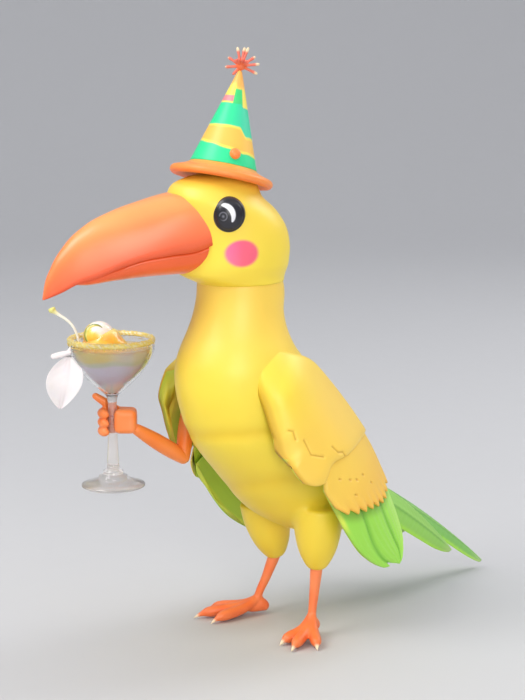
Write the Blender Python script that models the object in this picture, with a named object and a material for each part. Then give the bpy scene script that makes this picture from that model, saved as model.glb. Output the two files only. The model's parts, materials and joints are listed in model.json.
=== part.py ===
"""Toucan party figure: a standing bird in a party hat, holding a cocktail glass.

Everything is worked out in millimetres in the figure's own frame: floor at Z = 0, the
bird faces -Y, its left side is +X, and the point between its hips is over X = Y = 0.
FOOTPRINT_CENTRE then moves the figure so that its box is centred over the origin, and
MM turns millimetres into metres.
"""
import math

import bmesh
import bpy
from mathutils import Matrix, Vector

MM = 0.001
GAP = 0.3                               # clearance between pieces that touch
FOOTPRINT_CENTRE = Vector((-4.5, 7.4, 0.0))

# Driving dimensions
WALL = 2.0                              # wall of the moulded shells
SKIRT_WALL = 1.1                        # the head's thin edge, which laps over the neck
NECK_AXIS_Y = -28.5
NECK_TOP = 146.0
HEAD_YAW = math.radians(20)             # the head looks to the bird's right
HAT_SEAT = (0.0, -7.6, 181.6)           # middle of the brim, in the head's frame
HAT_LEAN = math.radians(13.2)           # the hat leans back
HAT_ROLL = math.radians(5.5)            # and a little to the right side
BRIM_RADIUS = 19.7
CONE_RADIUS = 12.3
CONE_FOOT = 5.9
CONE_TOP = 42.5
JAW_HINGE = (-15.5, 158.5)              # y and z in the head's frame
JAW_OPENING = math.radians(8)
JAW_PIN_RADIUS = 1.1
JAW_PIN_REACH = 13.0                    # half of the pin's length
WING_PEG = (-20.0, 101.0)               # y and z of the peg that each wing turns on
WING_PEG_RADIUS = 2.0
SHOULDER = (-26.7, -32.5, 90.0)
ELBOW = (-25.2, -36.5, 70.0)
WRIST = (-27.0, -58.0, 84.6)
ARM_RADIUS = 2.45
ELBOW_LAP = 6.2                         # reach of the half lap where the arm bends
ARM_PIN_RADIUS = 0.9
GLASS_AXIS = (-34.0, -64.5)
GLASS_FOOT_Z = 62.2
GLASS_RIM_Z = 120.6
DRINK_Z = 117.4
STEM_RADIUS = 1.8
HAND_YAW = math.radians(48)             # the knuckles point across the glass stem
BURST_TURN = math.radians(68)           # the starburst's flat side, in the hat's frame
HAND_Z = (83.8, 93.4)
HIP_PEG_RADIUS = 1.8
LEG_RADIUS = 2.4

# Sections of the body: height, middle in Y, half width, half depth
TORSO_SECTIONS = (
    (37.0, 21.0, 6.5, 8.5),
    (40.0, 17.0, 13.0, 17.5),
    (45.0, 12.0, 17.6, 23.2),
    (51.0, 6.8, 20.6, 27.2),
    (58.0, 1.2, 23.2, 28.8),
    (67.0, -5.4, 25.0, 29.4),
    (76.0, -13.0, 25.5, 29.6),
    (84.0, -19.2, 25.3, 29.2),
    (92.0, -22.8, 24.8, 28.8),
    (103.0, -26.4, 24.2, 28.2),
    (111.0, -28.0, 23.6, 26.6),
    (118.0, -29.6, 21.4, 22.7),
    (125.0, -29.6, 18.8, 19.4),
    (132.0, -29.3, 17.2, 17.1),
    (139.0, -28.4, 16.3, 16.4),
    (NECK_TOP, -28.5, 15.9, 15.9),
)
# Sections of the head, in its own frame: height, middle in Y, half width, half depth
HEAD_SECTIONS = (
    (142.2, 0.0, 17.7, 17.7),
    (145.0, 0.0, 18.6, 18.4),
    (150.0, -0.3, 19.3, 18.9),
    (157.0, -0.8, 20.1, 19.9),
    (164.0, -2.7, 20.3, 20.4),
    (171.0, -6.9, 19.5, 20.1),
    (176.0, -10.4, 17.6, 18.4),
    (180.0, -10.5, 14.9, 16.8),
    (183.2, -9.4, 10.5, 11.8),
    (184.8, -8.0, 5.0, 6.0),
)

COLOURS = {
    "vinyl_yellow": ((0.93, 0.62, 0.08), 0.5, 0.0),
    "vinyl_green": ((0.36, 0.72, 0.10), 0.5, 0.0),
    "vinyl_orange": ((0.93, 0.25, 0.06), 0.5, 0.0),
    "beak_orange": ((0.90, 0.20, 0.06), 0.45, 0.0),
    "eye_black": ((0.02, 0.02, 0.025), 0.15, 0.0),
    "hat_teal": ((0.05, 0.68, 0.32), 0.5, 0.0),
    "hat_orange": ((0.95, 0.33, 0.07), 0.45, 0.0),
    "burst_coral": ((0.90, 0.24, 0.20), 0.5, 0.0),
    "clear_glass": ((0.85, 0.90, 0.90), 0.05, 0.0),
    "drink_pink": ((0.80, 0.45, 0.60), 0.2, 0.0),
    "sugar_yellow": ((0.90, 0.75, 0.25), 0.8, 0.0),
    "fruit_orange": ((0.90, 0.38, 0.12), 0.4, 0.0),
    "lime_green": ((0.55, 0.70, 0.10), 0.4, 0.0),
    "leaf_white": ((0.80, 0.76, 0.76), 0.6, 0.0),
    "steel": ((0.55, 0.55, 0.57), 0.3, 1.0),
    "iron": ((0.12, 0.12, 0.13), 0.6, 0.9),
}


# ---------------------------------------------------------------- building blocks

def to_metres():
    """Figure millimetres to world metres."""
    return Matrix.Scale(MM, 4) @ Matrix.Translation(-FOOTPRINT_CENTRE)


def clear_scene():
    for item in list(bpy.data.objects):
        bpy.data.objects.remove(item, do_unlink=True)


def material(name):
    existing = bpy.data.materials.get(name)
    if existing:
        return existing
    colour, roughness, metallic = COLOURS[name]
    made = bpy.data.materials.new(name)
    made.use_nodes = True
    shader = made.node_tree.nodes["Principled BSDF"]
    shader.inputs["Base Color"].default_value = (*colour, 1.0)
    shader.inputs["Roughness"].default_value = roughness
    shader.inputs["Metallic"].default_value = metallic
    return made


def axis_empty(name, frame, parent=None):
    """An empty on a joint's axis; frame is its place in the figure's millimetres."""
    empty = bpy.data.objects.new(name, None)
    bpy.context.collection.objects.link(empty)
    location, rotation, _ = (to_metres() @ frame).decompose()
    empty["frame"] = [value for row in Matrix.LocRotScale(location, rotation, None)
                      for value in row]
    local = world_of(parent).inverted() @ world_of(empty)
    empty.parent = parent
    empty.matrix_basis = local
    return empty


def world_of(empty):
    if empty is None:
        return Matrix.Identity(4)
    values = empty["frame"]
    return Matrix([values[row * 4:row * 4 + 4] for row in range(4)])


def add_piece(name, bm, finish, frame=None, parent=None, sharp=35):
    """Turn a bmesh in millimetres into a named object under its joint's empty."""
    bmesh.ops.remove_doubles(bm, verts=bm.verts, dist=1e-4)
    bmesh.ops.recalc_face_normals(bm, faces=bm.faces)
    bm.transform(world_of(parent).inverted() @ to_metres() @ (frame or Matrix.Identity(4)))
    mesh = bpy.data.meshes.new(name)
    bm.to_mesh(mesh)
    bm.free()
    mesh.shade_smooth()
    mesh.set_sharp_from_angle(angle=math.radians(sharp))
    piece = bpy.data.objects.new(name, mesh)
    bpy.context.collection.objects.link(piece)
    piece.parent = parent
    mesh.materials.append(material(finish))
    return piece


def add_cutter(name, bm, frame=None, parent=None):
    """A shape that only cuts or joins others; it isn't a part of the figure."""
    cutter = add_piece(name, bm, "steel", frame, parent)
    cutter.hide_render = True
    cutter.display_type = "WIRE"
    return cutter


def boolean(piece, operation, *tools):
    for tool in tools:
        modifier = piece.modifiers.new(f"{operation.lower()} {tool.name}", "BOOLEAN")
        modifier.operation = operation
        modifier.object = tool


def skin(bm, rings, cap=True):
    """Join equal rings of points into a closed surface."""
    loops = [[bm.verts.new(point) for point in ring] for ring in rings]
    for near, far in zip(loops, loops[1:]):
        for i in range(len(near)):
            j = (i + 1) % len(near)
            bm.faces.new((near[i], near[j], far[j], far[i]))
    if cap:
        bm.faces.new(list(reversed(loops[0])))
        bm.faces.new(loops[-1])
    return bm


def turned(profile, steps=22, closed=False):
    """Spin a profile of (radius, height) points round the Z axis."""
    bm = bmesh.new()
    points = [bm.verts.new((radius, 0.0, height)) for radius, height in profile]
    edges = [bm.edges.new(pair) for pair in zip(points, points[1:])]
    if closed:
        edges.append(bm.edges.new((points[-1], points[0])))
    bmesh.ops.spin(bm, geom=points + edges, cent=(0, 0, 0), axis=(0, 0, 1),
                   angle=math.tau, steps=steps, use_merge=True)
    bmesh.ops.remove_doubles(bm, verts=bm.verts, dist=1e-4)
    return bm


def cylinder(radius, start, end, segments=16):
    """A plain round bar between two points."""
    start, end = Vector(start), Vector(end)
    bm = bmesh.new()
    bmesh.ops.create_cone(bm, cap_ends=True, segments=segments, radius1=radius,
                          radius2=radius, depth=(end - start).length)
    turn = (end - start).to_track_quat("Z", "Y").to_matrix().to_4x4()
    bm.transform(Matrix.Translation((start + end) / 2) @ turn)
    return bm


def box(low, high):
    bm = bmesh.new()
    bmesh.ops.create_cube(bm, size=1.0)
    low, high = Vector(low), Vector(high)
    size = high - low
    bm.transform(Matrix.Translation((low + high) / 2) @ Matrix.Diagonal((*size, 1.0)))
    return bm


def tube(path, radii, sides=12, flatten=1.0):
    """A round bar of changing radius along a list of points, with domed ends."""
    points = [Vector(point) for point in path]
    bm = bmesh.new()
    rings = []
    tangents = []
    for index in range(len(points)):
        before = points[max(index - 1, 0)]
        after = points[min(index + 1, len(points) - 1)]
        tangents.append((after - before).normalized())
    side = tangents[0].orthogonal().normalized()
    for index, (point, radius, tangent) in enumerate(zip(points, radii, tangents)):
        side = (side - tangent * side.dot(tangent)).normalized()
        up = tangent.cross(side)
        ring = [point + radius * (math.cos(turn) * side + flatten * math.sin(turn) * up)
                for turn in (math.tau * k / sides for k in range(sides))]
        rings.append(ring)
    return skin(bm, rings)


def capsule_path(start, end, radius, end_radius=None, steps=3):
    """Points and radii of a straight bar with rounded ends."""
    start, end = Vector(start), Vector(end)
    end_radius = radius if end_radius is None else end_radius
    along = (end - start).normalized()
    dome = [math.pi / 2 * step / steps for step in range(1, steps + 1)]
    path = [start - along * radius * math.cos(turn) for turn in dome]
    radii = [radius * math.sin(turn) for turn in dome]
    path += [end + along * end_radius * math.cos(turn) for turn in reversed(dome)]
    radii += [end_radius * math.sin(turn) for turn in reversed(dome)]
    return path, radii


def between(table, value):
    """Straight-line lookup in a list of (key, result) pairs."""
    for (low, first), (high, second) in zip(table, table[1:]):
        if value <= high:
            share = (value - low) / (high - low)
            return first + max(share, 0.0) * (second - first)
    return table[-1][1]


def ellipse_rings(sections, grow=0.0, count=20):
    """Rings round Z: angle 0 looks along -Y and the angle grows towards +X."""
    rings = []
    for height, middle, half_width, half_depth in sections:
        ring = []
        for k in range(count):
            turn = math.tau * k / count
            ring.append((math.sin(turn) * (half_width + grow),
                         middle - math.cos(turn) * (half_depth + grow), height))
        rings.append(ring)
    return rings


def solid_of(sections, grow=0.0):
    """The filled outer shape of a run of sections, grown by a clearance."""
    grown = [list(section) for section in sections]
    grown[0][0] -= grow
    grown[-1][0] += grow
    return skin(bmesh.new(), ellipse_rings(grown, grow))


# ---------------------------------------------------------------- frames and axes

def frames():
    head = Matrix.Translation((0, NECK_AXIS_Y, 0)) @ Matrix.Rotation(-HEAD_YAW, 4, "Z")
    hat = (head @ Matrix.Translation(HAT_SEAT) @ Matrix.Rotation(-HAT_LEAN, 4, "X")
           @ Matrix.Rotation(-HAT_ROLL, 4, "Y"))
    hand = Matrix.Translation((*GLASS_AXIS, 0)) @ Matrix.Rotation(HAND_YAW, 4, "Z")
    glass = Matrix.Translation((*GLASS_AXIS, 0))
    return {"head": head, "hat": hat, "hand": hand, "glass": glass}


def joint_axes(frame):
    neck = axis_empty("neck_axis", frame["head"] @ Matrix.Translation((0, 0, NECK_TOP)))
    jaw = axis_empty("jaw_axis", frame["head"] @ Matrix.Translation((0, *JAW_HINGE)), neck)
    hat = axis_empty("hat_axis", frame["hat"], neck)
    left = axis_empty("left_wing_axis", Matrix.Translation((25.0, *WING_PEG)))
    right = axis_empty("right_wing_axis", Matrix.Translation((-25.0, *WING_PEG)))
    shoulder = axis_empty("shoulder_axis", Matrix.Translation(SHOULDER))
    elbow = axis_empty("elbow_axis", Matrix.Translation(ELBOW), shoulder)
    glass = axis_empty("glass_axis", frame["glass"] @ Matrix.Translation((0, 0, 90)), elbow)
    return {"neck": neck, "jaw": jaw, "hat": hat, 1: left, -1: right,
            "shoulder": shoulder, "elbow": elbow, "glass": glass}


# ---------------------------------------------------------------- body

SEAM = 0.2                              # half of the seam between the two body shells
PLUG_TOP = 40.5


def torso_half(front, steps=10):
    """Half of the hollow body: C-shaped sections with the wall's thickness."""
    rings = []
    for height, middle, half_width, half_depth in TORSO_SECTIONS:
        ring = []
        for inset, order in ((0.0, range(steps + 1)), (WALL, range(steps, -1, -1))):
            depth = half_depth - inset
            reach = math.acos(SEAM / depth)
            for k in order:
                turn = reach * (2 * k / steps - 1)
                x = math.sin(turn) * (half_width - inset)
                y = math.cos(turn) * depth
                ring.append((x, middle - y, height) if front else (-x, middle + y, height))
        rings.append(ring)
    return skin(bmesh.new(), rings)


def body(shell_holes, hip_holes):
    front = add_piece("torso_front", torso_half(True), "vinyl_yellow")
    rear = add_piece("torso_rear", torso_half(False), "vinyl_yellow")
    for shell in (front, rear):
        boolean(shell, "DIFFERENCE", *shell_holes, *hip_holes)
    _, middle, half_width, half_depth = TORSO_SECTIONS[0]
    plug = turned(((0, 34.6), (6.2, 34.9), (7.4, 36.0), (7.4, 36.7), (4.0, 36.7),
                   (3.6, PLUG_TOP), (0, PLUG_TOP)), steps=20)
    slim = Matrix.Translation((0, middle, 0)) @ Matrix.Diagonal((1.0, 1.3, 1.0, 1.0))
    add_piece("base_plug", plug, "vinyl_yellow", slim)
    ballast_sections = [(z, y, w - WALL - 1.2, d - WALL - 1.6)
                        for z, y, w, d in TORSO_SECTIONS[2:6]]
    ballast = add_piece("ballast_weight", solid_of(ballast_sections), "iron")
    boolean(ballast, "DIFFERENCE", *hip_holes)


def neck_parts(axes):
    """A steel pin on the body's neck plug, and the bush in the head that turns on it."""
    centre = Matrix.Translation((0, NECK_AXIS_Y, 0))
    inner = TORSO_SECTIONS[-1][2] - WALL - GAP
    plug = turned(((0, 137.0), (inner, 137.0), (inner, 143.0), (3.6, 143.0), (3.6, 158.0),
                   (5.4, 158.6), (4.6, 160.6), (0, 160.6)), steps=18)
    add_piece("neck_pin", plug, "steel", centre)
    bush = turned(((3.9, 147.0), (15.8, 147.0), (15.8, 149.0), (6.6, 149.0), (6.6, 157.6),
                   (3.9, 157.6)), steps=18, closed=True)
    add_piece("neck_bush", bush, "vinyl_yellow", centre, axes["neck"])


# ---------------------------------------------------------------- head

BEAK_TOP = ((15.0, 178.6), (24.0, 178.2), (31.0, 177.0), (39.0, 175.6), (50.8, 171.2),
            (60.5, 165.3), (68.2, 158.2), (73.2, 150.4), (76.0, 143.8), (77.2, 140.6))
BEAK_MOUTH = ((12.0, 160.0), (16.0, 158.9), (20.7, 156.9), (32.0, 155.5), (43.0, 153.9),
              (51.7, 151.0), (59.3, 147.8), (65.6, 145.9), (71.0, 142.9), (77.2, 139.9))
BEAK_FLOOR = ((12.0, 149.5), (18.5, 147.5), (28.0, 147.2), (39.5, 146.6), (51.2, 145.6),
              (62.7, 144.4), (64.6, 144.6))
BEAK_WIDTH = ((12.0, 15.4), (20.0, 15.0), (31.0, 14.0), (43.0, 12.2), (52.0, 10.2),
              (60.0, 7.9), (68.0, 5.3), (73.0, 3.4), (77.2, 1.2))


def upper_beak_solid():
    """Arched sections from inside the head to the hooked tip."""
    rings = []
    for reach in (13.0, 20.0, 27.0, 34.0, 42.0, 50.0, 57.0, 63.0, 68.0, 72.0, 75.0, 77.2):
        top, mouth = between(BEAK_TOP, reach), between(BEAK_MOUTH, reach)
        width = between(BEAK_WIDTH, reach)
        ring = []
        for k in range(11):
            turn = math.pi * k / 10
            ring.append((math.cos(turn) * width, -reach,
                         mouth + math.sin(turn) ** 0.8 * (top - mouth)))
        ring += [(-width * 0.5, -reach, mouth), (0.0, -reach, mouth),
                 (width * 0.5, -reach, mouth)]
        rings.append(ring)
    return skin(bmesh.new(), rings)


def lower_beak_solid():
    rings = []
    for reach in (13.0, 20.0, 27.0, 34.0, 42.0, 50.0, 57.0, 62.0, 64.4):
        mouth = between(BEAK_MOUTH, reach) - GAP
        floor = min(between(BEAK_FLOOR, reach), mouth - 0.8)
        width = between(BEAK_WIDTH, reach) * min(0.93, 0.2 + (66.0 - reach) / 18.0)
        ring = []
        for k in range(9):
            turn = math.pi * k / 8
            ring.append((math.cos(turn) * width, -reach,
                         mouth - math.sin(turn) ** 0.8 * (mouth - floor)))
        ring += [(-width * 0.5, -reach, mouth), (0.0, -reach, mouth),
                 (width * 0.5, -reach, mouth)]
        rings.append(ring)
    return skin(bmesh.new(), rings)


def hollow_head():
    """Outer and inner surfaces joined at the rim over the neck."""
    inner = []
    for height, middle, half_width, half_depth in HEAD_SECTIONS[:-1]:
        wall = SKIRT_WALL if height < 144 else WALL
        inner.append((min(height, HEAD_SECTIONS[-1][0] - 2 * WALL), middle,
                      half_width - wall, half_depth - wall))
    outer_rings = ellipse_rings(HEAD_SECTIONS)
    inner_rings = ellipse_rings(inner)
    return skin(bmesh.new(), list(reversed(inner_rings)) + outer_rings)


def eyeball(side):
    bm = bmesh.new()
    bmesh.ops.create_uvsphere(bm, u_segments=20, v_segments=12, radius=1.0)
    bm.transform(Matrix.Translation((side * 17.0, -11.8, 170.6))
                 @ Matrix.Rotation(side * math.radians(-17), 4, "Z")
                 @ Matrix.Diagonal((4.6, 6.2, 6.8, 1.0)))
    return bm


def head(frame, axes):
    place, neck = frame["head"], axes["neck"]
    head_space = add_cutter("head_space", solid_of(HEAD_SECTIONS, GAP), place, neck)
    hinge = Matrix.Translation((0, *JAW_HINGE))
    swing = place @ hinge @ Matrix.Rotation(-JAW_OPENING, 4, "X") @ hinge.inverted()
    head_space_open = add_cutter("head_space_open", solid_of(HEAD_SECTIONS, GAP), swing, neck)
    pin_ends = [(side * JAW_PIN_REACH, *JAW_HINGE) for side in (-1, 1)]
    space_ends = [(side * (JAW_PIN_REACH + GAP), *JAW_HINGE) for side in (-1, 1)]
    pin_space = add_cutter("jaw_pin_space", cylinder(JAW_PIN_RADIUS + GAP, *space_ends), place, neck)

    shell = add_piece("head_shell", hollow_head(), "vinyl_yellow", place, neck)
    peg_space = add_cutter("hat_peg_space", cylinder(2.6 + GAP, (0, 0, -9), (0, 0, 12)),
                           frame["hat"], neck)
    boolean(shell, "DIFFERENCE", pin_space, peg_space)
    add_piece("hat_peg", cylinder(2.6, (0, 0, -4.5), (0, 0, 14)), "hat_orange",
              frame["hat"], neck)
    for side, label in ((1, "left_eye"), (-1, "right_eye")):
        eye = add_piece(label, eyeball(side), "eye_black", place, neck)
        boolean(eye, "DIFFERENCE", head_space)
    upper = add_piece("upper_beak", upper_beak_solid(), "beak_orange", place, neck)
    boolean(upper, "DIFFERENCE", head_space, pin_space)
    add_piece("jaw_hinge_pin", cylinder(JAW_PIN_RADIUS, *pin_ends), "steel", place, neck)
    lower = add_piece("lower_beak", lower_beak_solid(), "beak_orange", place, axes["jaw"])
    boolean(lower, "DIFFERENCE", head_space, head_space_open, pin_space)
    return head_space


def hat(frame, axes, head_space):
    place, axis = frame["hat"], axes["hat"]
    edge = 1.6
    rim = [(BRIM_RADIUS - edge + edge * math.cos(turn), edge + edge * math.sin(turn))
           for turn in (math.radians(angle) for angle in range(-110, 61, 34))]
    brim = turned([(10.2, 3.6)] + rim + [(CONE_RADIUS + 0.4, CONE_FOOT - GAP),
                                         (10.2, CONE_FOOT - GAP)], closed=True)
    brim_piece = add_piece("hat_brim", brim, "hat_orange", place, axis)
    boolean(brim_piece, "DIFFERENCE", head_space)
    cone = turned(((CONE_RADIUS, CONE_FOOT), (CONE_RADIUS * 0.5, 24.4), (1.7, CONE_TOP - 1.6),
                   (0.0, CONE_TOP), (0.0, CONE_TOP - 6), (CONE_RADIUS - 1.8, CONE_FOOT)),
                  closed=True)
    cone_piece = add_piece("hat_cone", cone, "hat_teal", place, axis)
    boolean(cone_piece, "DIFFERENCE", head_space)

    slope = math.atan2(CONE_RADIUS, CONE_TOP - CONE_FOOT)
    button_turn = Matrix.Rotation(math.radians(86), 4, "Z")
    button_place = (place @ button_turn @ Matrix.Translation((0, -(CONE_RADIUS - 0.62), CONE_FOOT + 3.9))
                    @ Matrix.Rotation(math.radians(90) - slope, 4, "X"))
    button = turned(((0, 2.0), (1.2, 1.8), (2.0, 1.0), (2.1, 0.45), (0, 0.45)), steps=16)
    add_piece("hat_button", button, "hat_orange", button_place, axis)
    starburst(place @ Matrix.Translation((0, 0, CONE_TOP + 2.2 + GAP)), axis)


SPIKE_ANGLES = (-21, 1, 20, 48, 74, 106, 214, 256, 296)   # from straight up, in degrees


def starburst(place, axis):
    """A ball whose facets are pulled out into round-ended spikes."""
    bm = bmesh.new()
    bmesh.ops.create_icosphere(bm, subdivisions=2, radius=2.2)
    face_on = Matrix.Rotation(BURST_TURN, 3, "Z")
    wanted = [face_on @ Vector((math.sin(turn), 0, math.cos(turn)))
              for turn in (math.radians(angle) for angle in SPIKE_ANGLES)]
    wanted += [face_on @ Vector(point).normalized() for point in
               ((0.4, -1, 0.45), (-0.5, -1, 0.1), (0.3, -1, -0.3), (0.4, 1, 0.45), (-0.5, 1, 0.1))]
    chosen = []
    for direction in wanted:
        facet = max((face for face in bm.faces if face not in chosen),
                    key=lambda face: face.calc_center_median().normalized().dot(direction))
        chosen.append(facet)
    spikes = bmesh.ops.extrude_discrete_faces(bm, faces=chosen)["faces"]
    for facet, direction in zip(spikes, wanted):
        pull_out(bm, facet, direction * 3.8, 0.9)
    tips = bmesh.ops.extrude_discrete_faces(bm, faces=spikes)["faces"]
    for facet, direction in zip(tips, wanted):
        pull_out(bm, facet, direction * 1.0, 0.45)
    add_piece("hat_starburst", bm, "burst_coral", place, axis)


def pull_out(bm, facet, shift, shrink):
    middle = facet.calc_center_median()
    for vert in facet.verts:
        vert.co = middle + (vert.co - middle) * shrink + shift


# ---------------------------------------------------------------- wings

WING_MIDDLE = (-14.0, 82.0)             # y and z of the wing's own zero point
WING_RUN = Vector((0.5, -0.866))        # from shoulder to tip, in y and z
WING_REACH = 44.6                       # x of the front edge where the wing hangs straight
WING_SPLAY = 0.28                       # how fast it leaves the body above that
WING_STRAIGHT = 25.0                    # run from where it hangs straight
WING_FRONT = -18.0
FRONT_EDGE = ((-42.5, -6.0), (-41.0, -9.5), (-36.5, -13.0), (-26.5, -15.8), (-17.5, -17.3),
              (-9.0, -18.5), (2.0, -19.3), (7.0, -17.5), (9.0, -15.6), (17.0, -15.0),
              (20.0, -13.4), (27.0, -13.1), (38.0, -12.1), (48.5, -9.2), (56.5, -4.6), (63.0, 2.0))
BACK_EDGE = ((-42.5, -5.0), (-40.0, 2.0), (-34.0, 10.0), (-26.0, 17.0), (-12.5, 21.5),
             (-2.0, 23.0), (10.0, 24.0), (20.0, 24.2), (28.5, 22.5), (41.0, 21.0), (52.0, 19.5),
             (57.0, 17.0), (61.0, 9.0), (63.0, 4.0))


def wing_point(side, run, across, depth):
    """A point of the wing: run to the tip, across to the back, depth under its face."""
    y = WING_MIDDLE[0] + WING_RUN.x * run - WING_RUN.y * across
    z = WING_MIDDLE[1] + WING_RUN.y * run + WING_RUN.x * across
    short = WING_STRAIGHT - run
    x = WING_REACH - WING_SPLAY * (short + math.hypot(short, 10.0)) / 2
    swell = across - WING_FRONT
    x += 0.3 * swell - 0.015 * swell * swell
    return (side * (x - depth), y, z)


def wing_panel(side, start, finish, depth, thickness, columns, rows):
    """A plate on the wing's curved face; start and finish give its ends by share across."""
    bm = bmesh.new()
    grids = []
    for level in (depth, depth + thickness):
        grid = []
        for i in range(columns + 1):
            share = i / columns
            line = []
            for j in range(rows + 1):
                run = start(share) + (finish(share) - start(share)) * j / rows
                front, back = between(FRONT_EDGE, run), between(BACK_EDGE, run)
                across = front + (back - front) * share
                line.append(bm.verts.new(wing_point(side, run, across, level)))
            grid.append(line)
        grids.append(grid)
    outer, inner = grids
    for i in range(columns):
        for j in range(rows):
            bm.faces.new((outer[i][j], outer[i + 1][j], outer[i + 1][j + 1], outer[i][j + 1]))
            bm.faces.new((inner[i][j], inner[i][j + 1], inner[i + 1][j + 1], inner[i + 1][j]))
    border = ([(i, 0) for i in range(columns)] + [(columns, j) for j in range(rows)]
              + [(i, rows) for i in range(columns, 0, -1)] + [(0, j) for j in range(rows, 0, -1)])
    for (i, j), (k, m) in zip(border, border[1:] + border[:1]):
        bm.faces.new((outer[i][j], inner[i][j], inner[k][m], outer[k][m]))
    return bm


def scallops(count, height):
    return lambda share: height * abs(math.sin(math.pi * count * share))


COVER_END = ((0.0, 3.0), (0.04, 5.8), (0.12, 6.4), (0.22, 3.0), (0.5, 5.0), (0.8, 12.0), (1.0, 18.0))
COVERTS_END = ((0.0, 19.0), (0.06, 22.0), (0.15, 24.6), (0.34, 28.4), (0.53, 32.2), (0.67, 34.4),
               (1.0, 34.6))


def cover_panel(side, depth, thickness):
    return wing_panel(side, lambda share: -42.0, lambda share: between(COVER_END, share),
                      depth, thickness, 9, 8)


def wing(side, label, axis):
    teeth, lobes = scallops(9, 1.5), scallops(3, 2.6)
    add_piece(f"{label}_wing_cover", cover_panel(side, 0.0, 2.0), "vinyl_yellow", parent=axis)
    coverts = wing_panel(side, lambda share: -3.0,
                         lambda share: between(COVERTS_END, share) + teeth(share),
                         2.0 + GAP, 1.5, 27, 3)
    add_piece(f"{label}_wing_coverts", coverts, "vinyl_yellow", parent=axis)
    primaries = wing_panel(side, lambda share: 12.0, lambda share: 59.4 + lobes(share),
                           3.5 + 2 * GAP, 1.5, 12, 6)
    add_piece(f"{label}_wing_primaries", primaries, "vinyl_green", parent=axis)
    peg_profile = turned(((0, 14.0), (5.2, 14.0), (5.2, 15.4), (WING_PEG_RADIUS, 16.4),
                          (WING_PEG_RADIUS, 24.7), (3.4, 24.7), (3.8, 32.0), (0, 32.0)), steps=16)
    turn = Matrix.Translation((0, *WING_PEG)) @ Matrix.Rotation(side * math.pi / 2, 4, "Y")
    peg = add_piece(f"{label}_wing_peg", peg_profile, "vinyl_yellow", turn, axis)
    boolean(peg, "DIFFERENCE", add_cutter(f"{label}_wing_bed", cover_panel(side, -4.0, 6.05)))


# ---------------------------------------------------------------- tail

def feather(root, tip, width, thickness, roll, arch=2.0, droop=2.2, sections=7):
    """A blade arched across its width; roll turns its face outwards round its length."""
    root, tip = Vector(root), Vector(tip)
    along = tip - root
    turn = Matrix.Rotation(math.radians(roll), 3, along)
    across = turn @ along.cross(Vector((0, 0, 1))).normalized()
    up = across.cross(along).normalized()
    rings = []
    for k in range(sections + 1):
        share = k / sections
        swell = (0.6 + 0.4 * math.sin(math.pi * share ** 0.8)) * width / 2
        if share > 0.8:
            swell *= math.sqrt(max(1 - ((share - 0.8) / 0.205) ** 2, 0.04))
        middle = root + along * share + up * droop * math.sin(math.pi * share)
        half = thickness / 2 * (1 - 0.4 * share)
        rings.append([middle + across * swell * side + up * (half * lift - arch * side * side)
                      for side, lift in
                      ((-1, -0.4), (-0.55, -0.9), (0, -1), (0.55, -0.9), (1, -0.4),
                       (1, 0.4), (0.55, 0.9), (0, 1.2), (-0.55, 0.9), (-1, 0.4))])
    return skin(bmesh.new(), rings)


def tail():
    add_piece("tail_feather_middle", feather((0, 37.0, 56.5), (0, 115.8, 5.6), 15.0, 2.6, 0, 3.5),
              "vinyl_green")
    for side, label in ((1, "left"), (-1, "right")):
        tip = (side * 8.0, 88.0, 13.5) if side > 0 else (side * 6.0, 74.0, 22.0)
        blade = feather((side * 5.5, 35.5, 50.5), tip, 12.5, 2.2, side * 38)
        add_piece(f"tail_feather_{label}", blade, "vinyl_green")


# ---------------------------------------------------------------- legs

class Leg:
    """Where one leg stands, and the heading and length of each toe from its ankle."""

    def __init__(self, label, hip, knee, ankle, toes):
        self.label = label
        self.hip, self.knee, self.ankle = Vector(hip), Vector(knee), Vector(ankle)
        self.toes = toes
        self.heading = math.radians(toes[1][0])
        self.up = (self.hip - self.knee).normalized()
        self.drop = (self.hip - self.knee).length


LEGS = (Leg("left", (17.8, -3.2, 50.0), (17.4, -3.5, 29.6), (17.4, -6.0, 8.0),
            ((-2, 17.2), (23, 20.2), (54, 17.2))),
        Leg("right", (-17.6, -0.2, 46.0), (-15.9, 4.8, 25.6), (-18.6, -2.6, 6.5),
            ((-6, 24.0), (-28, 27.6), (-50, 22.0))))


def hip_peg(leg, low, high, radius):
    """A bar on the thigh's middle line, from low to high shares of its length."""
    return cylinder(radius, leg.knee + leg.up * leg.drop * low, leg.knee + leg.up * leg.drop * high, 12)


def hip_spaces():
    return [add_cutter(f"{leg.label}_hip_peg_space", hip_peg(leg, 0.40, 1.45, HIP_PEG_RADIUS + GAP))
            for leg in LEGS]


def toe(leg, heading, reach):
    """A toe that swells past the ankle and ends in a claw that turns down."""
    turn = math.radians(heading)
    way = Vector((math.sin(turn), -math.cos(turn), 0))
    start = Vector((leg.ankle.x, leg.ankle.y, 2.6))
    stations = ((-0.08, 0.8, 2.5), (0.2, 0.8, 2.9), (0.5, 0.0, 2.5), (0.72, -0.1, 2.3),
                (0.85, -0.4, 1.5), (0.94, -1.2, 1.0), (1.0, -2.0, 0.4))
    path = [start + way * reach * share + Vector((0, 0, lift)) for share, lift, _ in stations]
    return tube(path, [radius for _, _, radius in stations], sides=8)


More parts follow.
